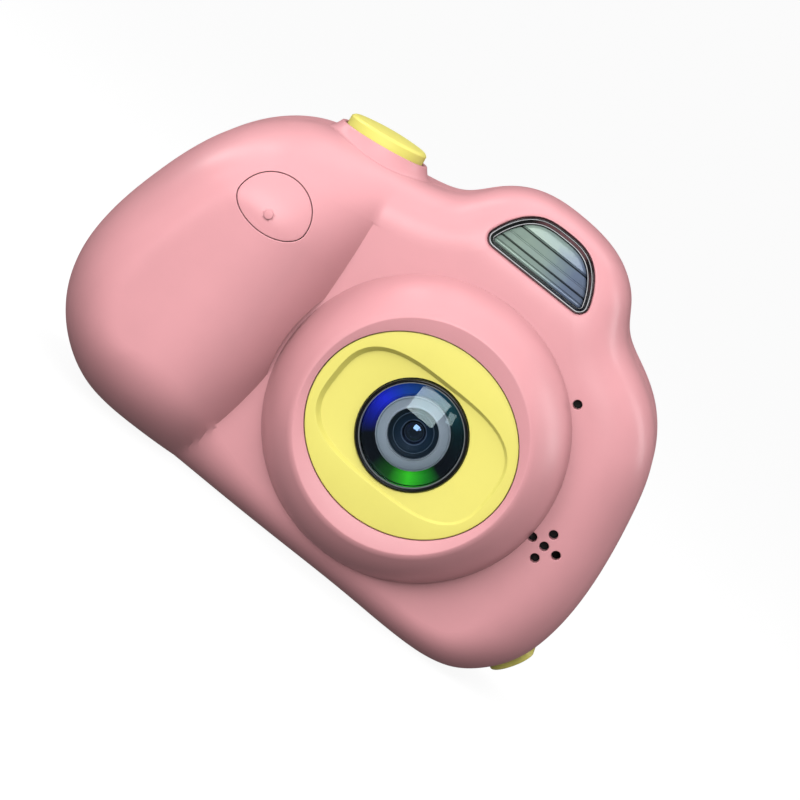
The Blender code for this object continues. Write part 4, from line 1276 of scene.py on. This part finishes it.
def film_material():
    """Amber polyimide film with darker copper lines along it."""
    n = Nodes("ribbon_film_amber")
    lines = n.math("SINE", n.math("MULTIPLY", n.axes()[0], 9000.0))
    base = n.ramp(n.spread(lines, -1.0, 1.0, 0.0, 1.0), (0.35, (0.55, 0.28, 0.05)), (0.65, (0.3, 0.12, 0.03)))
    return n.principled(base, n.uneven(600.0, 0.28, 0.4), Normal=n.bump(lines, 0.2, 0.00003))


def wrap_material():
    """The battery's crinkled silver pouch."""
    n = Nodes("battery_pouch_silver")
    creases = n.noise(220.0, 6.0, 0.7)
    base = n.ramp(creases, (0.3, (0.42, 0.44, 0.46)), (0.7, (0.7, 0.71, 0.73)))
    gloss = n.spread(creases, 0.3, 0.7, 0.3, 0.5)
    return n.principled(base, gloss, Metallic=0.8, Normal=n.bump(creases, 0.5, 0.0002))


def foam_material():
    n = Nodes("gasket_foam_black")
    cells = n.cells(4000.0)
    return n.principled(n.ramp(cells, (0.0, 0.01), (0.6, 0.05)), 0.95, Normal=n.bump(cells, 0.6, 0.0001))


def screen_material():
    """Black window whose display area shows a shade lighter inside its printed border."""
    n = Nodes("screen_window_black")
    axes = n.axes()
    side = n.math("ABSOLUTE", n.math("SUBTRACT", axes[0], SCREEN_XZ[0] * MM))
    rise = n.math("ABSOLUTE", n.math("SUBTRACT", axes[2], SCREEN_XZ[1] * MM))
    inside = n.math("MULTIPLY", n.math("LESS_THAN", side, 18.2 * MM), n.math("LESS_THAN", rise, 13.2 * MM))
    base = n.ramp(inside, (0.0, (0.004, 0.004, 0.005)), (1.0, (0.016, 0.018, 0.022)))
    return n.principled(base, n.uneven(500.0, 0.05, 0.09), Coat_Weight=0.5, Coat_Roughness=0.03)


def light_pipe_material():
    n = Nodes("light_pipe_clear")
    haze = n.noise(800.0)
    base = n.ramp(haze, (0.3, (0.62, 0.7, 0.66)), (0.7, (0.8, 0.86, 0.83)))
    return n.principled(base, 0.12, Transmission_Weight=0.5, IOR=1.49, Normal=n.bump(haze, 0.05))


# Assembly

PINK = (0.866, 0.40, 0.43)
YELLOW = (0.95, 0.86, 0.20)


def finish_piece(obj, node, material, body="camera_body"):
    """Dresses a piece that stands for a node, or for none, and lets it ride on a body."""
    obj.data.materials.clear()
    obj.data.materials.append(material)
    if node:
        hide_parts(node)
    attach(obj, body)


def dress_nodes(material, *names):
    """Gives carried-over CAD nodes a detailed material."""
    for name in names:
        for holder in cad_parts[name].material_slots:
            holder.material = material


def build_plastic_pieces():
    pink = moulded_plastic("pink_plastic", PINK, 0.34)
    yellow = moulded_plastic("yellow_plastic_moulded", YELLOW, 0.4)
    front, find = build_front_shell()
    rear = build_rear_shell()
    uncut = [shell("front_ghost", False), shell("rear_ghost", True)]
    collar = build_collar(uncut)
    for ghost in uncut:
        bpy.data.objects.remove(ghost, do_unlink=True)
    for obj in (front, rear):
        obj.data.shade_smooth()
        obj.data.set_sharp_from_angle(angle=math.radians(30))
    finish_piece(front, "front_cover", pink)
    finish_piece(rear, "rear_cover", pink)
    finish_piece(collar, "shutter_collar", pink)
    finish_piece(build_ring(), "lens_ring", pink)
    finish_piece(build_bezel(), "lens_bezel", yellow)
    finish_piece(build_shutter_button(), "shutter_button", yellow, "shutter_button")
    finish_piece(build_flap(find), "grip_flap", pink, "grip_flap")
    finish_piece(build_card_cover(), "card_cover", yellow, "card_cover")
    for name, (x, z) in REAR_BUTTONS.items():
        finish_piece(build_rear_button(name, x, z), name, yellow, name)


def build_lens_pieces():
    pieces = build_lens()
    black = polished("black_plastic_polished", (0.006, 0.006, 0.007), 0.18)
    grey = moulded_plastic("iris_satin_grey", (0.56, 0.54, 0.53), 0.5, 0.5)
    rim = moulded_plastic("glass_edge_grey", (0.2, 0.21, 0.22), 0.4, 0.3)
    blue = polished("small_lens_blue", (0.16, 0.22, 0.32), 0.05, 1.0)
    finish_piece(pieces["trim_ring_turned"], "lens_trim_ring", black)
    finish_piece(pieces["glass_edge_ring"], None, rim)
    glass = clear_glass("lens_glass_coated")
    finish_piece(pieces["front_glass"], "front_lens_element", glass)
    # The seat's blue and green are painted reflection on black, not a coating of its own.
    finish_piece(pieces["black_seat_painted_reflection"], "lens_barrel", seat_painted_reflection_material())
    finish_piece(pieces["iris_ring_turned"], "iris_ring", grey)
    finish_piece(pieces["stepped_core"], "inner_sleeve", lens_core_material())
    finish_piece(pieces["small_lens"], "inner_lens_element", blue)


def build_other_pieces(steel):
    chrome = polished("dark_chrome", (0.15, 0.15, 0.155), 0.16, 1.0)
    finish_piece(build_flash_frame(), "flash_bezel", chrome)
    finish_piece(build_flash_window(), "flash_window", flash_window_material())
    finish_piece(build_screen_pane(), "screen_window", screen_material())
    finish_piece(build_status_light(), "status_light", light_pipe_material())
    for index, (x, z) in enumerate(COVER_SCREWS, 1):
        finish_piece(build_cover_screw(index, x, z), f"cover_screw_{index}", steel)


def dress_inner_nodes(steel):
    black = moulded_plastic("black_moulded", (0.02, 0.02, 0.022), 0.4, 0.5)
    switches = [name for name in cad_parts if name.endswith("_switch")]
    dress_nodes(board_material(), "main_board", "sensor_board", "flash_board", "shutter_board", "usb_board")
    dress_nodes(steel, "usb_port", "card_socket", "board_screw_1", "board_screw_2")
    dress_nodes(black, *switches, "speaker", "image_sensor", "memory_card", "battery_lead", "microphone")
    dress_nodes(wrap_material(), "battery")
    dress_nodes(film_material(), "camera_ribbon", "screen_ribbon")
    dress_nodes(foam_material(), "screen_gasket")
    dress_nodes(brushed("aluminium_frame", (0.66, 0.67, 0.68), 0.35), "lcd_panel")
    dress_nodes(polished("bright_reflector", (0.8, 0.81, 0.82), 0.08, 1.0), "flash_reflector")
    dress_nodes(moulded_plastic("lamp_phosphor", (0.85, 0.72, 0.15), 0.5, 0.6), "flash_lamp")


def main():
    steel = brushed("zinc_plated_steel", (0.6, 0.6, 0.62))
    build_plastic_pieces()
    build_lens_pieces()
    build_other_pieces(steel)
    dress_inner_nodes(steel)
    make_camera()
    make_lights()
    make_surroundings()
    make_floor()


main()

boxes = {"cad": cad_box, "visual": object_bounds()}
{key: [list(corner) for corner in value] for key, value in boxes.items()}
